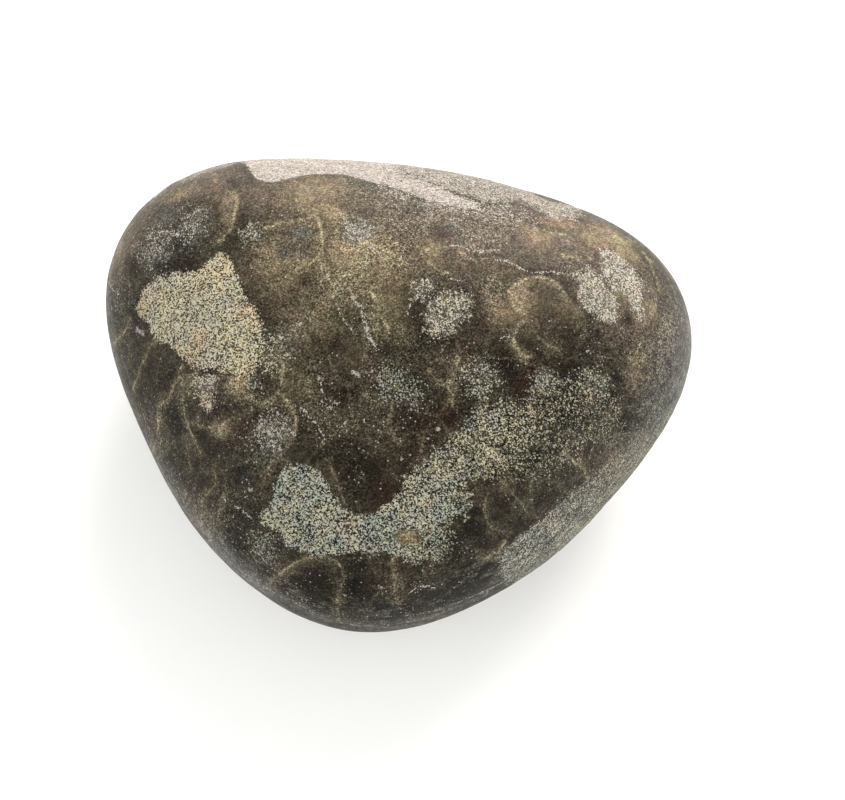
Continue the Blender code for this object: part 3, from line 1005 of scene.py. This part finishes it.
# %% Cups as a solid texture of columns
CUP_WIDTH = 10.5
CUP_STRETCH = 3.2
CUP_DISORDER = 0.75
COLUMN_TILT = (math.radians(14), math.radians(-9), math.radians(20))
COLUMN_BEND = 2.2
BEND_SIZE = 16
PLATES_IN_CUP = 34.0
CUPS_ON_SEEN_SIDE = 0.2

bend = add("TexNoise", {"Vector": place, "Scale": per_mm(BEND_SIZE), "Detail": 2.0})["Color"]
# The noise strays by a quarter to each side of a half
bend = add("VectorMath", [bend, (0.5, 0.5, 0.5)], operation="SUBTRACT")[0]
bent = add("VectorMath", [bend, (4 * COLUMN_BEND * MM,) * 3, place], operation="MULTIPLY_ADD")[0]
column_size = (1, 1, 1 / CUP_STRETCH)
column = add("Mapping", {"Vector": bent, "Rotation": COLUMN_TILT, "Scale": column_size})[0]
cup = add("TexVoronoi", {"Vector": column, "Scale": per_mm(CUP_WIDTH), "Randomness": CUP_DISORDER})
cup_edge = add("TexVoronoi", {"Vector": column, "Scale": per_mm(CUP_WIDTH), "Randomness": CUP_DISORDER},
               feature="DISTANCE_TO_EDGE")["Distance"]
cups_here = add("Math", [seen_here, CUPS_ON_SEEN_SIDE - 1, 1.0], operation="MULTIPLY_ADD")[0]

from_eye = add("VectorMath", [column, cup["Position"]], operation="SUBTRACT")[0]
from_eye_part = add("SeparateXYZ", [from_eye])
angle = add("Math", [from_eye_part["Y"], from_eye_part["X"]], operation="ARCTAN2")[0]
plate = add("Math", [angle, PLATES_IN_CUP], operation="MULTIPLY")[0]
plate = add("Math", [plate], operation="SINE")[0]
print("nodes, with the cups:", len(tree.nodes))

# %% [markdown]
# ## The clear brown calcite
# Between the patches the stone is calcite stained by iron and old oil. One broad noise makes it lighter
# and darker by turns, and another is drawn out along the columns like the fibres in it. The stains go
# over that, from the veil of haze to the dark depths. Part of the haze is a painted sheen, part of the
# dark is painted shade along the lower limb, and part of the cool grey is a painted rim highlight.

# %% Brown calcite and its stains
CLOUD_SIZE = 6
CLOUD_SPAN = (0.36, 0.64)
CLOUD_COLOURS = ("#373227", "#544b3b")
EYE_SPAN = (0.42, 0.12)
EYE_SHARE = 0.5
EYE_COLOUR = "#1f1a13"

cloud = add("TexNoise", {"Vector": bent, "Scale": per_mm(CLOUD_SIZE), "Detail": 3.0,
                         "Roughness": 0.55})["Fac"]
cloud = add("MapRange", {"Value": cloud, "From Min": CLOUD_SPAN[0], "From Max": CLOUD_SPAN[1]})[0]
brown = add("Mix", {0: cloud, 6: linear(CLOUD_COLOURS[0]), 7: linear(CLOUD_COLOURS[1])}, data_type="RGBA")[2]
eye = add("MapRange", {"Value": cup["Distance"], "From Min": EYE_SPAN[0], "From Max": EYE_SPAN[1],
                       "To Max": EYE_SHARE})[0]
eye = add("Math", [eye, cups_here], operation="MULTIPLY")[0]
brown = add("Mix", {0: eye, 6: brown, 7: linear(EYE_COLOUR)}, data_type="RGBA")[2]

STAINS_AND_PAINTED_LIGHT = (
    # where, how much of it, colour
    # haze: milky veil, and a painted sheen of the light behind the stone
    (cold_here["Y"], 0.85, "#8f7c70"),
    (warm_here["Y"], 0.85, "#71684d"),
    (warm_here["Z"], 0.85, "#432d22"),
    (warm_here["X"], 0.93, "#bfa986"),
    # cool grey: grey bloom, and a painted highlight on the right rim
    (cold_here["Z"], 0.8, "#74797b"),
    # dark: deep cups, and painted shade along the lower limb
    (cold_here["X"], 0.85, "#120f0b"),
)
for where, most, colour in STAINS_AND_PAINTED_LIGHT:
    share = add("Math", [where, most], operation="MULTIPLY")[0]
    brown = add("Mix", {0: share, 6: brown, 7: linear(colour)}, data_type="RGBA")[2]
print("nodes, with the stains:", len(tree.nodes))

# %% Fibres, plates and blotches, lighter and darker by turns, and the painted light and shade of cup edges
FIBRE_SIZE = 0.55
FIBRE_STRETCH = 0.35
FIBRE_SPAN = (0.32, 0.68)
FIBRE_CONTRAST = 0.28
PLATE_CONTRAST = 0.14
BLOTCH_SIZE = 1.8
BLOTCH_SPAN = (0.35, 0.65)
BLOTCH_CONTRAST = 0.25
HINT_SIZE = 2.6
HUE_HINT = 0.35
EDGE_REACH = 3.0
EDGE_BLUR = 0.15
EDGE_CONTRASTS = (0.45, 0.35)

along = add("VectorMath", [column, (1, 1, FIBRE_STRETCH)], operation="MULTIPLY")[0]
fibre = add("TexNoise", {"Vector": along, "Scale": per_mm(FIBRE_SIZE), "Detail": 3.0,
                         "Roughness": 0.6})["Fac"]
streak = add("MapRange", {"Value": fibre, "From Min": FIBRE_SPAN[0], "From Max": FIBRE_SPAN[1],
                          "To Min": 1 - FIBRE_CONTRAST, "To Max": 1 + FIBRE_CONTRAST})[0]
plate_depth = add("Math", [cups_here, PLATE_CONTRAST], operation="MULTIPLY")[0]
tone = add("Math", [plate, plate_depth, streak], operation="MULTIPLY_ADD")[0]
blotch = add("TexNoise", {"Vector": bent, "Scale": per_mm(BLOTCH_SIZE), "Detail": 3.0, "Roughness": 0.65})
light = add("MapRange", {"Value": blotch["Fac"], "From Min": BLOTCH_SPAN[0], "From Max": BLOTCH_SPAN[1],
                         "To Min": 1 - BLOTCH_CONTRAST, "To Max": 1 + BLOTCH_CONTRAST})[0]
tone = add("Math", [tone, light], operation="MULTIPLY")[0]
# The edges of cups: painted light on the right-hand side of each line and painted shade on the left, for a
# step that the mesh doesn't have.
edge_share = add("MapRange", {"Value": edge_here["Y"], "From Min": EDGE_REACH, "From Max": 0.0},
                 interpolation_type="SMOOTHSTEP")[0]
edge_share = add("Math", [edge_share, edge_here["Z"]], operation="MULTIPLY")[0]
lit_side = add("MapRange", {"Value": edge_here["X"], "From Min": EDGE_BLUR, "From Max": -EDGE_BLUR,
                            "To Min": -EDGE_CONTRASTS[0], "To Max": EDGE_CONTRASTS[1]})[0]
lit_side = add("Math", [edge_share, lit_side, 1.0], operation="MULTIPLY_ADD")[0]
tone = add("Math", [tone, lit_side], operation="MULTIPLY")[0]
hint = add("TexNoise", {"Vector": bent, "Scale": per_mm(HINT_SIZE), "Detail": 1.0})["Color"]
hint = add("VectorMath", [hint, (HUE_HINT,) * 3, (1 - HUE_HINT / 2,) * 3], operation="MULTIPLY_ADD")[0]
calcite = add("VectorMath", [brown, tone], operation="MULTIPLY")[0]
calcite = add("VectorMath", [calcite, hint], operation="MULTIPLY")[0]
print("nodes, with the calcite:", len(tree.nodes))

# %% [markdown]
# ## The walls
# A wall is thin and tan, and lies a little under the polished surface, so a soft glow goes round it. The
# lines from the picture come first, and the edges of the solid texture's cells take over on the hidden
# sides. A noise breaks both up, as no wall shows for its whole length.

# %% Walls over the calcite
WALL_HALF_WIDTHS = (0.15, 0.42)
WAVER_SIZE = 1.2
WAVER_REACH = 0.9
WALL_REACH = 0.6
CELL_WALL_HALF_WIDTH = 0.035
CELL_WALL_SHARE = 0.7
BREAK_SPAN = (0.36, 0.6)
LEAST_WALL = 0.25
WALL_COLOUR = "#b8a886"
GLOW_REACH = 1.5
GLOW_SHARE = 0.5
GLOW_COLOUR = "#867a60"

waver = add("TexNoise", {"Vector": place, "Scale": per_mm(WAVER_SIZE), "Detail": 3.0, "Roughness": 0.6})
wall_off = add("Math", [waver["Fac"], WAVER_REACH, -WAVER_REACH / 2], operation="MULTIPLY_ADD")[0]
wall_off = add("Math", [wall_off, wall_here["X"]], operation="ADD")[0]
wall_off = add("Math", [wall_off], operation="ABSOLUTE")[0]
half_width = add("MapRange", {"Value": wall_here["Z"], "To Min": WALL_HALF_WIDTHS[0],
                              "To Max": WALL_HALF_WIDTHS[1]})
line = add("MapRange", {"Value": wall_off, "From Min": half_width[0], "From Max": 0.0},
           interpolation_type="SMOOTHSTEP")[0]
close = add("Math", [wall_here["Y"], WALL_REACH], operation="LESS_THAN")[0]
line = add("Math", [line, close], operation="MULTIPLY")[0]
line = add("Math", [line, wall_here["Z"]], operation="MULTIPLY", use_clamp=True)[0]
cell_line = add("MapRange", {"Value": cup_edge, "From Min": CELL_WALL_HALF_WIDTH, "From Max": 0.0,
                             "To Max": CELL_WALL_SHARE}, interpolation_type="SMOOTHSTEP")[0]
cell_line = add("Math", [cell_line, cups_here], operation="MULTIPLY")[0]
walls = add("Math", [line, cell_line], operation="MAXIMUM")[0]
broken = add("SeparateColor", [waver["Color"]])["Green"]
broken = add("MapRange", {"Value": broken, "From Min": BREAK_SPAN[0], "From Max": BREAK_SPAN[1],
                          "To Min": LEAST_WALL})[0]
walls = add("Math", [walls, broken], operation="MULTIPLY")[0]
glow = add("MapRange", {"Value": wall_here["Y"], "From Min": GLOW_REACH, "From Max": 0.0,
                        "To Max": GLOW_SHARE}, interpolation_type="SMOOTHSTEP")[0]
glow = add("Math", [glow, wall_here["Z"]], operation="MULTIPLY", use_clamp=True)[0]
for share, colour in ((glow, GLOW_COLOUR), (walls, WALL_COLOUR)):
    veined = add("VectorMath", [linear(colour)[:3], tone], operation="MULTIPLY")[0]
    calcite = add("Mix", {0: share, 6: calcite, 7: veined}, data_type="RGBA")[2]
print("nodes, with the walls:", len(tree.nodes))

# %% [markdown]
# ## The grains of the patches
# The patches are lime sand: grains of a tenth to a quarter of a millimetre, from near-black to cream,
# packed wall to wall in the middle of a patch and scattered at its edge. Each cell of a Voronoi texture
# is one grain, about as large as one pixel of the picture. One random number gives its tone, one its
# warmth and one says whether it is there at all, so the edge of a patch breaks up into single grains. A
# broad noise turns whole zones greyer or yellower, and the sand's own stains go over that.

# %% Where the grains are
GRAIN_SIZE = 0.145
FRAY_SIZE = 1.3
BAY_SIZE = 6
BAY_DEPTH = 14
LOOSE = 0.3
PACKED = 0.9
FRAY_WIDTHS = (7.0, 1.6)
EDGE_WIDTHS = (2.4, 0.4)
COVER_SPAN = (-0.6, 0.8)

grain = add("TexVoronoi", {"Vector": place, "Scale": per_mm(GRAIN_SIZE)})
grain_random = add("SeparateColor", [grain["Color"]])
fray = add("TexNoise", {"Vector": place, "Scale": per_mm(FRAY_SIZE), "Detail": 3.0, "Roughness": 0.7})["Fac"]
closeness = look_here["Z"]
fray_width, edge_width = (
    add("MapRange", {"Value": closeness, "From Min": LOOSE, "To Min": loose, "To Max": packed})[0]
    for loose, packed in (FRAY_WIDTHS, EDGE_WIDTHS))
ragged = add("Math", [fray, 0.5], operation="SUBTRACT")[0]
ragged = add("Math", [ragged, fray_width, depth_here], operation="MULTIPLY_ADD")[0]
bay = add("TexNoise", {"Vector": place, "Scale": per_mm(BAY_SIZE), "Detail": 2.0})["Fac"]
bay = add("Math", [bay, 0.5], operation="SUBTRACT")[0]
bay_depth = add("MapRange", {"Value": seen_here, "To Min": BAY_DEPTH, "To Max": 0.0})[0]
ragged = add("Math", [bay, bay_depth, ragged], operation="MULTIPLY_ADD")[0]
cover = add("Math", [ragged, edge_width], operation="DIVIDE")[0]
cover = add("MapRange", {"Value": cover, "From Min": COVER_SPAN[0], "From Max": COVER_SPAN[1]},
            interpolation_type="SMOOTHSTEP")[0]
cover = add("Math", [cover, closeness], operation="MULTIPLY")[0]
is_grain = add("Math", [grain_random["Green"], cover], operation="LESS_THAN")[0]
print("nodes, with the grains' places:", len(tree.nodes))

# %% What colour each grain is
TONE_ENDS = (0.2, 0.8)
WORN_TONE = 0.86
WARMTH_SPREAD = 0.3
HUE_SIZE = 2.0
HUE_SPREAD = 2.0
HINT_ON_SAND = 0.4
GREY_GRAINS = ("#0f100e", "#52574a", "#d3d9ca")
WARM_GRAINS = ("#30281a", "#d8c898", "#fff8d6")
PALE_GRAINS = ("#a7998e", "#d3c8bd", "#f8f0e8")
RUST_TINT = (1.15, 0.78, 0.5)
SLATE_TINT = (0.75, 0.78, 0.9)
STRAW_TINT = (1.12, 1.04, 0.68)

grain_tone = add("MapRange", {"Value": grain_random["Red"], "From Min": TONE_ENDS[0],
                              "From Max": TONE_ENDS[1]}, interpolation_type="SMOOTHSTEP")[0]
worn_tone = add("MapRange", {"Value": closeness, "From Min": LOOSE, "From Max": PACKED,
                              "To Min": WORN_TONE})[0]
grain_tone = add("Math", [grain_tone, worn_tone], operation="MULTIPLY")[0]


def grain_colour(colours):
    """Dark below half the tone, middle at half and pale above, blended evenly."""
    low, middle, high = (linear(colour) for colour in colours)
    up = add("MapRange", {"Value": grain_tone, "From Max": 0.5})[0]
    over = add("MapRange", {"Value": grain_tone, "From Min": 0.5})[0]
    lower = add("Mix", {0: up, 6: low, 7: middle}, data_type="RGBA")[2]
    return add("Mix", {0: over, 6: lower, 7: high}, data_type="RGBA")[2]


hue = add("TexNoise", {"Vector": place, "Scale": per_mm(HUE_SIZE), "Detail": 1.0})["Fac"]
hue = add("Math", [hue, HUE_SPREAD, -(HUE_SPREAD + WARMTH_SPREAD) / 2], operation="MULTIPLY_ADD")[0]
warmth = add("Math", [grain_random["Blue"], WARMTH_SPREAD, hue], operation="MULTIPLY_ADD")[0]
warmth = add("Math", [warmth, look_here["X"]], operation="ADD", use_clamp=True)[0]
sand = add("Mix", {0: warmth, 6: grain_colour(GREY_GRAINS), 7: grain_colour(WARM_GRAINS)},
           data_type="RGBA")[2]
sand = add("Mix", {0: look_here["Y"], 6: sand, 7: grain_colour(PALE_GRAINS)}, data_type="RGBA")[2]
sand_hint = add("Mix", {0: HINT_ON_SAND, 6: (1, 1, 1, 1), 7: hint}, data_type="RGBA")[2]
sand = add("VectorMath", [sand, sand_hint], operation="MULTIPLY")[0]
for where, tint in zip(sand_here, (RUST_TINT, SLATE_TINT, STRAW_TINT)):
    share = add("Math", [where, grain_random["Blue"]], operation="MULTIPLY")[0]
    tinted = add("VectorMath", [sand, tint], operation="MULTIPLY")[0]
    sand = add("Mix", {0: share, 6: sand, 7: tinted}, data_type="RGBA")[2]
stone_colour = add("Mix", {0: is_grain, 6: calcite, 7: sand}, data_type="RGBA")[2]
print("nodes, with the grains:", len(tree.nodes))

# %% [markdown]
# ## Streaks of wear
# On the steep sides, sand that moved with the waves rubbed level streaks: pale scratches, with lighter
# and darker ridges between them. They could be cut into the mesh, but they are finer than its squares. A
# noise that is squeezed upright gives both, and it fades out where the stone turns up to the sky.

# %% Level streaks on the steep sides
STREAK_SIZE = 2.2
STREAK_FLATNESS = 2.6
STREAK_SHARE = 0.58
STREAK_SPAN = (0.52, 0.68)
STREAK_COLOUR = "#a5a29b"
RIDGE_CONTRAST = 0.6
RIDGE_SPAN = (0.35, 0.65)
LEAST_WORN = 0.35

level = add("Mapping", {"Vector": place, "Scale": (1, 1, STREAK_FLATNESS)})[0]
streaks = add("TexNoise", {"Vector": level, "Scale": per_mm(STREAK_SIZE), "Detail": 5.0, "Roughness": 0.75})
scar = streaks["Fac"]
ridge = add("SeparateColor", [streaks["Color"]])["Green"]
scar = add("MapRange", {"Value": scar, "From Min": STREAK_SPAN[0], "From Max": STREAK_SPAN[1],
                        "To Max": STREAK_SHARE})[0]
scar = add("Math", [scar, steep_here], operation="MULTIPLY")[0]
worn = add("MapRange", {"Value": cloud, "To Min": LEAST_WORN})[0]
scar = add("Math", [scar, worn], operation="MULTIPLY")[0]
ridge = add("MapRange", {"Value": ridge, "From Min": RIDGE_SPAN[0], "From Max": RIDGE_SPAN[1],
                         "To Min": -RIDGE_CONTRAST, "To Max": RIDGE_CONTRAST})[0]
ridge = add("Math", [ridge, steep_here, 1.0], operation="MULTIPLY_ADD")[0]
stone_colour = add("VectorMath", {0: stone_colour, "Scale": ridge}, operation="SCALE")[0]
stone_colour = add("Mix", {0: scar, 6: stone_colour, 7: linear(STREAK_COLOUR)}, data_type="RGBA")[2]
print("nodes, with the streaks:", len(tree.nodes))

# %% [markdown]
# ## Specks, beads and crystals
# White specks no wider than a hair sit in tiny pits in the calcite, and the crystals and beads are whiter
# still. They are drawn at a tenth of a millimetre and more, a little larger than most real ones, so that
# they show. Their white is partly a painted highlight as well: it stands in for the tiny glints of the
# polish. A crystal and a bead are broken up by the grain cells, so that no edge is a drawn circle.

# %% White specks: one in each chosen cell of a Voronoi texture
SPECK_SPACING = 0.3
SPECK_RADII = (0.12, 0.36)
SPECKS_CHOSEN = 0.6
SPECK_SHARE = 0.85

speck = add("TexVoronoi", {"Vector": place, "Scale": per_mm(SPECK_SPACING)})
speck_random = add("SeparateColor", [speck["Color"]])
chosen = add("Math", [fleck_here, SPECKS_CHOSEN], operation="MULTIPLY")[0]
chosen = add("Math", [speck_random["Red"], chosen], operation="LESS_THAN")[0]
speck_radius = add("MapRange", {"Value": speck_random["Blue"], "To Min": SPECK_RADII[0],
                                "To Max": SPECK_RADII[1]})[0]
dot = add("Math", [speck["Distance"], speck_radius], operation="LESS_THAN")[0]

# %% Strings of beads: the lines with a strength below zero
BEAD_HALF_WIDTH = 0.14
BEADS_CHOSEN = 0.35

in_string = add("Math", [wall_off, BEAD_HALF_WIDTH], operation="LESS_THAN")[0]
is_string = add("Math", [wall_here["Z"], BEAD_STRENGTH / 2], operation="LESS_THAN")[0]
bead = add("Math", [grain_random["Green"], BEADS_CHOSEN], operation="LESS_THAN")[0]

# %% Crystals, with an edge that each grain cell moves
CRYSTAL_EDGES = (0.2, 1.1)
CRYSTAL_TONES = (0.25, 0.95)

edge, crystal_tone = (
    add("MapRange", {"Value": grain_random[channel], "To Min": low, "To Max": high})[0]
    for channel, (low, high) in (("Red", CRYSTAL_EDGES), ("Green", CRYSTAL_TONES)))
from_crystal = add("VectorMath", [crystal_here], operation="LENGTH")["Value"]
in_crystal = add("Math", [from_crystal, edge], operation="LESS_THAN")[0]

# %% How white each place is: the most of the three
white = 0.0
for first, *others in ((dot, chosen, SPECK_SHARE), (in_string, close, is_string, bead),
                       (in_crystal, crystal_tone)):
    for other in others:
        first = add("Math", [first, other], operation="MULTIPLY")[0]
    white = add("Math", [white, first], operation="MAXIMUM")[0]
print("nodes, with the specks, beads and crystals:", len(tree.nodes))

# %% [markdown]
# ## Dust, salt and pepper
# Two more things keep the calcite from looking painted. Some of its grains are dusty. And a fine salt and
# pepper goes over it: pepper darkens every channel by the same share, and salt is a painted glint, a pale
# straw grey that hardly follows the colour of the stone under it, as light that a scratch scatters does.
# Smooth amber zones and hazy zones, where part of the haze is painted sheen, get less of both.

# %% Dusty grains between the patches
DUSTY_GRAINS = 0.3
DUSTY_IN_PATCH = 0.9
DUST_SHARE = 0.45
DUST_COLOUR = "#8d8779"

dusty = add("Math", [fleck_here, DUSTY_GRAINS], operation="MULTIPLY")[0]
dusty = add("Math", [cover, DUSTY_IN_PATCH, dusty], operation="MULTIPLY_ADD")[0]
not_grain = add("Math", [is_grain, -1.0, 1.0], operation="MULTIPLY_ADD")[0]
dusty = add("Math", [dusty, not_grain], operation="MULTIPLY")[0]
dusty = add("Math", [grain_random["Blue"], dusty], operation="LESS_THAN")[0]
dusty = add("Math", [dusty, DUST_SHARE], operation="MULTIPLY")[0]
stone_colour = add("Mix", {0: dusty, 6: stone_colour, 7: linear(DUST_COLOUR)}, data_type="RGBA")[2]
print("nodes, with the dust:", len(tree.nodes))

# %% Salt and pepper: a power of a noise from -1 to 1, so that it darkens as often as it lightens
PEPPER_SIZE = 0.3
PEPPER_SPAN = (0.2, 0.8)
PEPPER_RANGES = (1.9, 4.2)
SMOOTHED_BY_HAZE_AND_SHEEN = 0.7
SMOOTHED_BY_AMBER = 0.5
FULL_PEPPER = 0.12
SALT_TINT = (1.08, 0.97, 0.68)

pepper = add("TexNoise", {"Vector": place, "Scale": per_mm(PEPPER_SIZE), "Detail": 3.0, "Roughness": 0.8})[0]
pepper = add("Mix", {0: 0.5, 2: pepper, 3: grain_random["Red"]})[0]
pepper = add("MapRange", {"Value": pepper, "From Min": PEPPER_SPAN[0], "From Max": PEPPER_SPAN[1],
                          "To Min": -1.0, "To Max": 1.0})[0]
rough_here = add("Math", [cold_here["Y"], -SMOOTHED_BY_HAZE_AND_SHEEN, 1.0], operation="MULTIPLY_ADD")[0]
rough_here = add("Math", [warm_here["X"], -SMOOTHED_BY_AMBER, rough_here], operation="MULTIPLY_ADD",
                 use_clamp=True)[0]
rough_here = add("Math", [rough_here, fleck_here], operation="MULTIPLY")[0]
pepper_range = add("MapRange", {"Value": rough_here, "From Max": FULL_PEPPER, "To Min": PEPPER_RANGES[0],
                                "To Max": PEPPER_RANGES[1]})[0]
pepper = add("Math", [pepper_range, pepper], operation="POWER")[0]
pepper = add("Mix", {0: is_grain, 2: pepper, 3: 1.0})[0]
# Salt is a painted glint: the light that fine scratches scatter.
salt = add("Math", [pepper, 1.0], operation="SUBTRACT")[0]
salt = add("Math", [salt, 0.0], operation="MAXIMUM")[0]
brightness = add("RGBToBW", [stone_colour])[0]
salt = add("Math", [salt, brightness], operation="MULTIPLY")[0]
salt = add("VectorMath", [SALT_TINT, salt], operation="MULTIPLY")[0]
pepper = add("Math", [pepper, 1.0], operation="MINIMUM")[0]
stone_colour = add("VectorMath", [stone_colour, pepper, salt], operation="MULTIPLY_ADD")[0]
print("nodes, with the salt and pepper:", len(tree.nodes))

# %% The white over all of it, and the stone's own share of the colours read
# The picture's light burns the sheet out to white, so a colour read from it is brighter than the stone's own.
# This share of it is the stone's, in the calcite and in the grains and specks.
STONE_OF_PICTURE = (0.4, 0.49)
WHITE_COLOUR = "#e6e0d3"

stone_colour = add("Mix", {0: white, 6: stone_colour, 7: linear(WHITE_COLOUR)}, data_type="RGBA")[2]
own_share = add("Mix", {0: is_grain, 2: STONE_OF_PICTURE[0], 3: STONE_OF_PICTURE[1]})[0]
own_share = add("Mix", {0: white, 2: own_share, 3: STONE_OF_PICTURE[1]})[0]
stone_colour = add("VectorMath", {0: stone_colour, "Scale": own_share}, operation="SCALE")[0]
tree.links.new(stone_colour, shader.inputs["Base Color"])
print("nodes, with the whole colour:", len(tree.nodes))

# %% [markdown]
# ## Satin and grit
# Waves and fingers gave the calcite a satin polish, with a soft broad highlight. The patches are dull, as
# their grains stand out of the mud between them. Calcite bends light by about 1.56 on average. Fine
# scratches scatter nearly all of what it would mirror, so the specular level is far under one half.

# %% Roughness and grain relief
CALCITE_IOR = 1.56
POLISH = 0.05
SCUFF_SIZE = 0.5
SCUFF_SPAN = (0.3, 0.7)
SATIN = (0.34, 0.52)
DULL = 0.75
GRAIN_RELIEF = 0.05
CALCITE_HEIGHT = 0.35
SCUFF_HEIGHT = 0.4

shader.inputs["IOR"].default_value = CALCITE_IOR
shader.inputs["Specular IOR Level"].default_value = POLISH
scuff = add("TexNoise", {"Vector": along, "Scale": per_mm(SCUFF_SIZE), "Detail": 3.0,
                         "Roughness": 0.7})["Fac"]
satin = add("MapRange", {"Value": scuff, "From Min": SCUFF_SPAN[0], "From Max": SCUFF_SPAN[1],
                         "To Min": SATIN[0], "To Max": SATIN[1]})[0]
rough = add("Mix", {0: is_grain, 2: satin, 3: DULL})[0]
tree.links.new(rough, shader.inputs["Roughness"])

height = add("Mix", {0: cover, 2: CALCITE_HEIGHT, 3: grain_tone})[0]
height = add("Math", [scuff, SCUFF_HEIGHT, height], operation="MULTIPLY_ADD")[0]
relief = add("Bump", {"Strength": 1.0, "Distance": GRAIN_RELIEF * MM, "Height": height})[0]
tree.links.new(relief, shader.inputs["Normal"])
print("nodes in the stone's material:", len(tree.nodes))

# %% [markdown]
# ## The studio
# The stone lies on a pale sheet that curves up all round, like a shallow bowl, so every view has the same
# pale ground. The room is bright at the sides and dim overhead, as it is under a camera, so the top of
# the stone stays deep and dark while the sheet burns out to white, with a soft shadow only close to the
# stone. A broad light far behind the stone on the right lays the haze over its upper right, and two weak
# ones open the shadows. The sheet is given a faint glow of its own for the light that its far parts would
# send back.

# %% The sheet
SHEET_RADIUS = 1400
SHEET_FLAT = 500
SHEET_RISE = 700
SHEET_GLOW = 0.12
FLOOR_GAP = 0.1
SHEET_SPOKES = 96
SHEET_RINGS = 40
FIRST_RING = 0.02
PAPER_COLOUR = "#f2f2f0"
PAPER_ROUGHNESS = 0.9

spokes = np.linspace(0, 2 * math.pi, SHEET_SPOKES, endpoint=False)
turn, reach = np.meshgrid(spokes, np.linspace(FIRST_RING, 1, SHEET_RINGS), indexing="ij")
rise = np.clip((reach * SHEET_RADIUS - SHEET_FLAT) / (SHEET_RADIUS - SHEET_FLAT), 0, 1) ** 2 * SHEET_RISE
sheet_points = np.stack([reach * SHEET_RADIUS * np.cos(turn), reach * SHEET_RADIUS * np.sin(turn),
                         rise - FLOOR_GAP], axis=-1)
sheet_quads = grid_quads(SHEET_SPOKES, SHEET_RINGS, closed=True)[:, ::-1]
middle_ring = [list(range(0, SHEET_SPOKES * SHEET_RINGS, SHEET_RINGS))]
sheet_mesh = bpy.data.meshes.new("pale_sheet")
sheet_mesh.from_pydata((sheet_points.reshape(-1, 3) * MM).tolist(), [], sheet_quads.tolist() + middle_ring)
sheet_mesh.shade_smooth()
sheet = bpy.data.objects.new("pale_sheet", sheet_mesh)
bpy.context.scene.collection.objects.link(sheet)

paper = bpy.data.materials.new("matt_white_paper")
paper.use_nodes = True
paper_shader = paper.node_tree.nodes["Principled BSDF"]
paper_shader.inputs["Base Color"].default_value = linear(PAPER_COLOUR)
paper_shader.inputs["Roughness"].default_value = PAPER_ROUGHNESS
paper_shader.inputs["Emission Color"].default_value = linear("#ffffff")
paper_shader.inputs["Emission Strength"].default_value = SHEET_GLOW
sheet_mesh.materials.append(paper)
print("squares of the sheet:", len(sheet_quads))

# %% The lights
OVERHEAD_LIGHT = 0.33
SIDE_LIGHT = 2.75
DIMMING = (0.42, 0.88)

LIGHTS = (
    # name, where it stands in mm, width and height in mm, brightness, colour
    ("key_far_right", (250, 600, 420), (520, 420), 10.0, "#fffaf2"),
    ("fill_left", (-760, -120, 480), (520, 520), 1.0, "#f4f8ff"),
    ("fill_front", (180, -760, 420), (520, 420), 0.2, "#ffffff"),
)

world = bpy.data.worlds.new("side_lit_room")
bpy.context.scene.world = world
world.use_nodes = True
world.node_tree.nodes["Background"].inputs["Color"].default_value = linear("#ffffff")
tree = world.node_tree
sky_direction = add("SeparateXYZ", [add("TexCoord", {})["Generated"]])
sky = add("MapRange", {"Value": sky_direction["Z"], "From Min": DIMMING[0], "From Max": DIMMING[1],
                       "To Min": SIDE_LIGHT, "To Max": OVERHEAD_LIGHT}, interpolation_type="SMOOTHSTEP")[0]
tree.links.new(sky, tree.nodes["Background"].inputs["Strength"])
for name, stand, (width, height), brightness, colour in LIGHTS:
    lamp = bpy.data.lights.new(name, "AREA")
    lamp.shape = "RECTANGLE"
    lamp.size = width * MM
    lamp.size_y = height * MM
    lamp.energy = brightness * math.pi * lamp.size * lamp.size_y
    lamp.color = linear(colour)[:3]
    light = bpy.data.objects.new(name, lamp)
    light.location = Vector(stand) * MM
    light.rotation_euler = Vector(stand).to_track_quat("Z", "Y").to_euler()
    light.visible_camera = False
    bpy.context.scene.collection.objects.link(light)
    print(name, "in watts:", round(lamp.energy, 2))
bpy.context.scene.view_settings.view_transform = "Standard"

# %% [markdown]
# ## The camera
# The camera takes the values that the marks were read with, so each mark lands on its own pixel again.

# %% Camera
camera_lens = bpy.data.cameras.new("camera")
camera_lens.lens = LENS
camera_lens.sensor_width = SENSOR_WIDTH
camera_lens.clip_start = 0.01
camera = bpy.data.objects.new("camera", camera_lens)
camera.location = Vector((CAMERA_TARGET + CAMERA_DISTANCE * camera_back) * MM)
camera.rotation_euler = (math.radians(90) - CAMERA_ELEVATION, 0, 0)
bpy.context.scene.collection.objects.link(camera)
bpy.context.scene.camera = camera
print("camera in mm:", (CAMERA_TARGET + CAMERA_DISTANCE * camera_back).round(1))
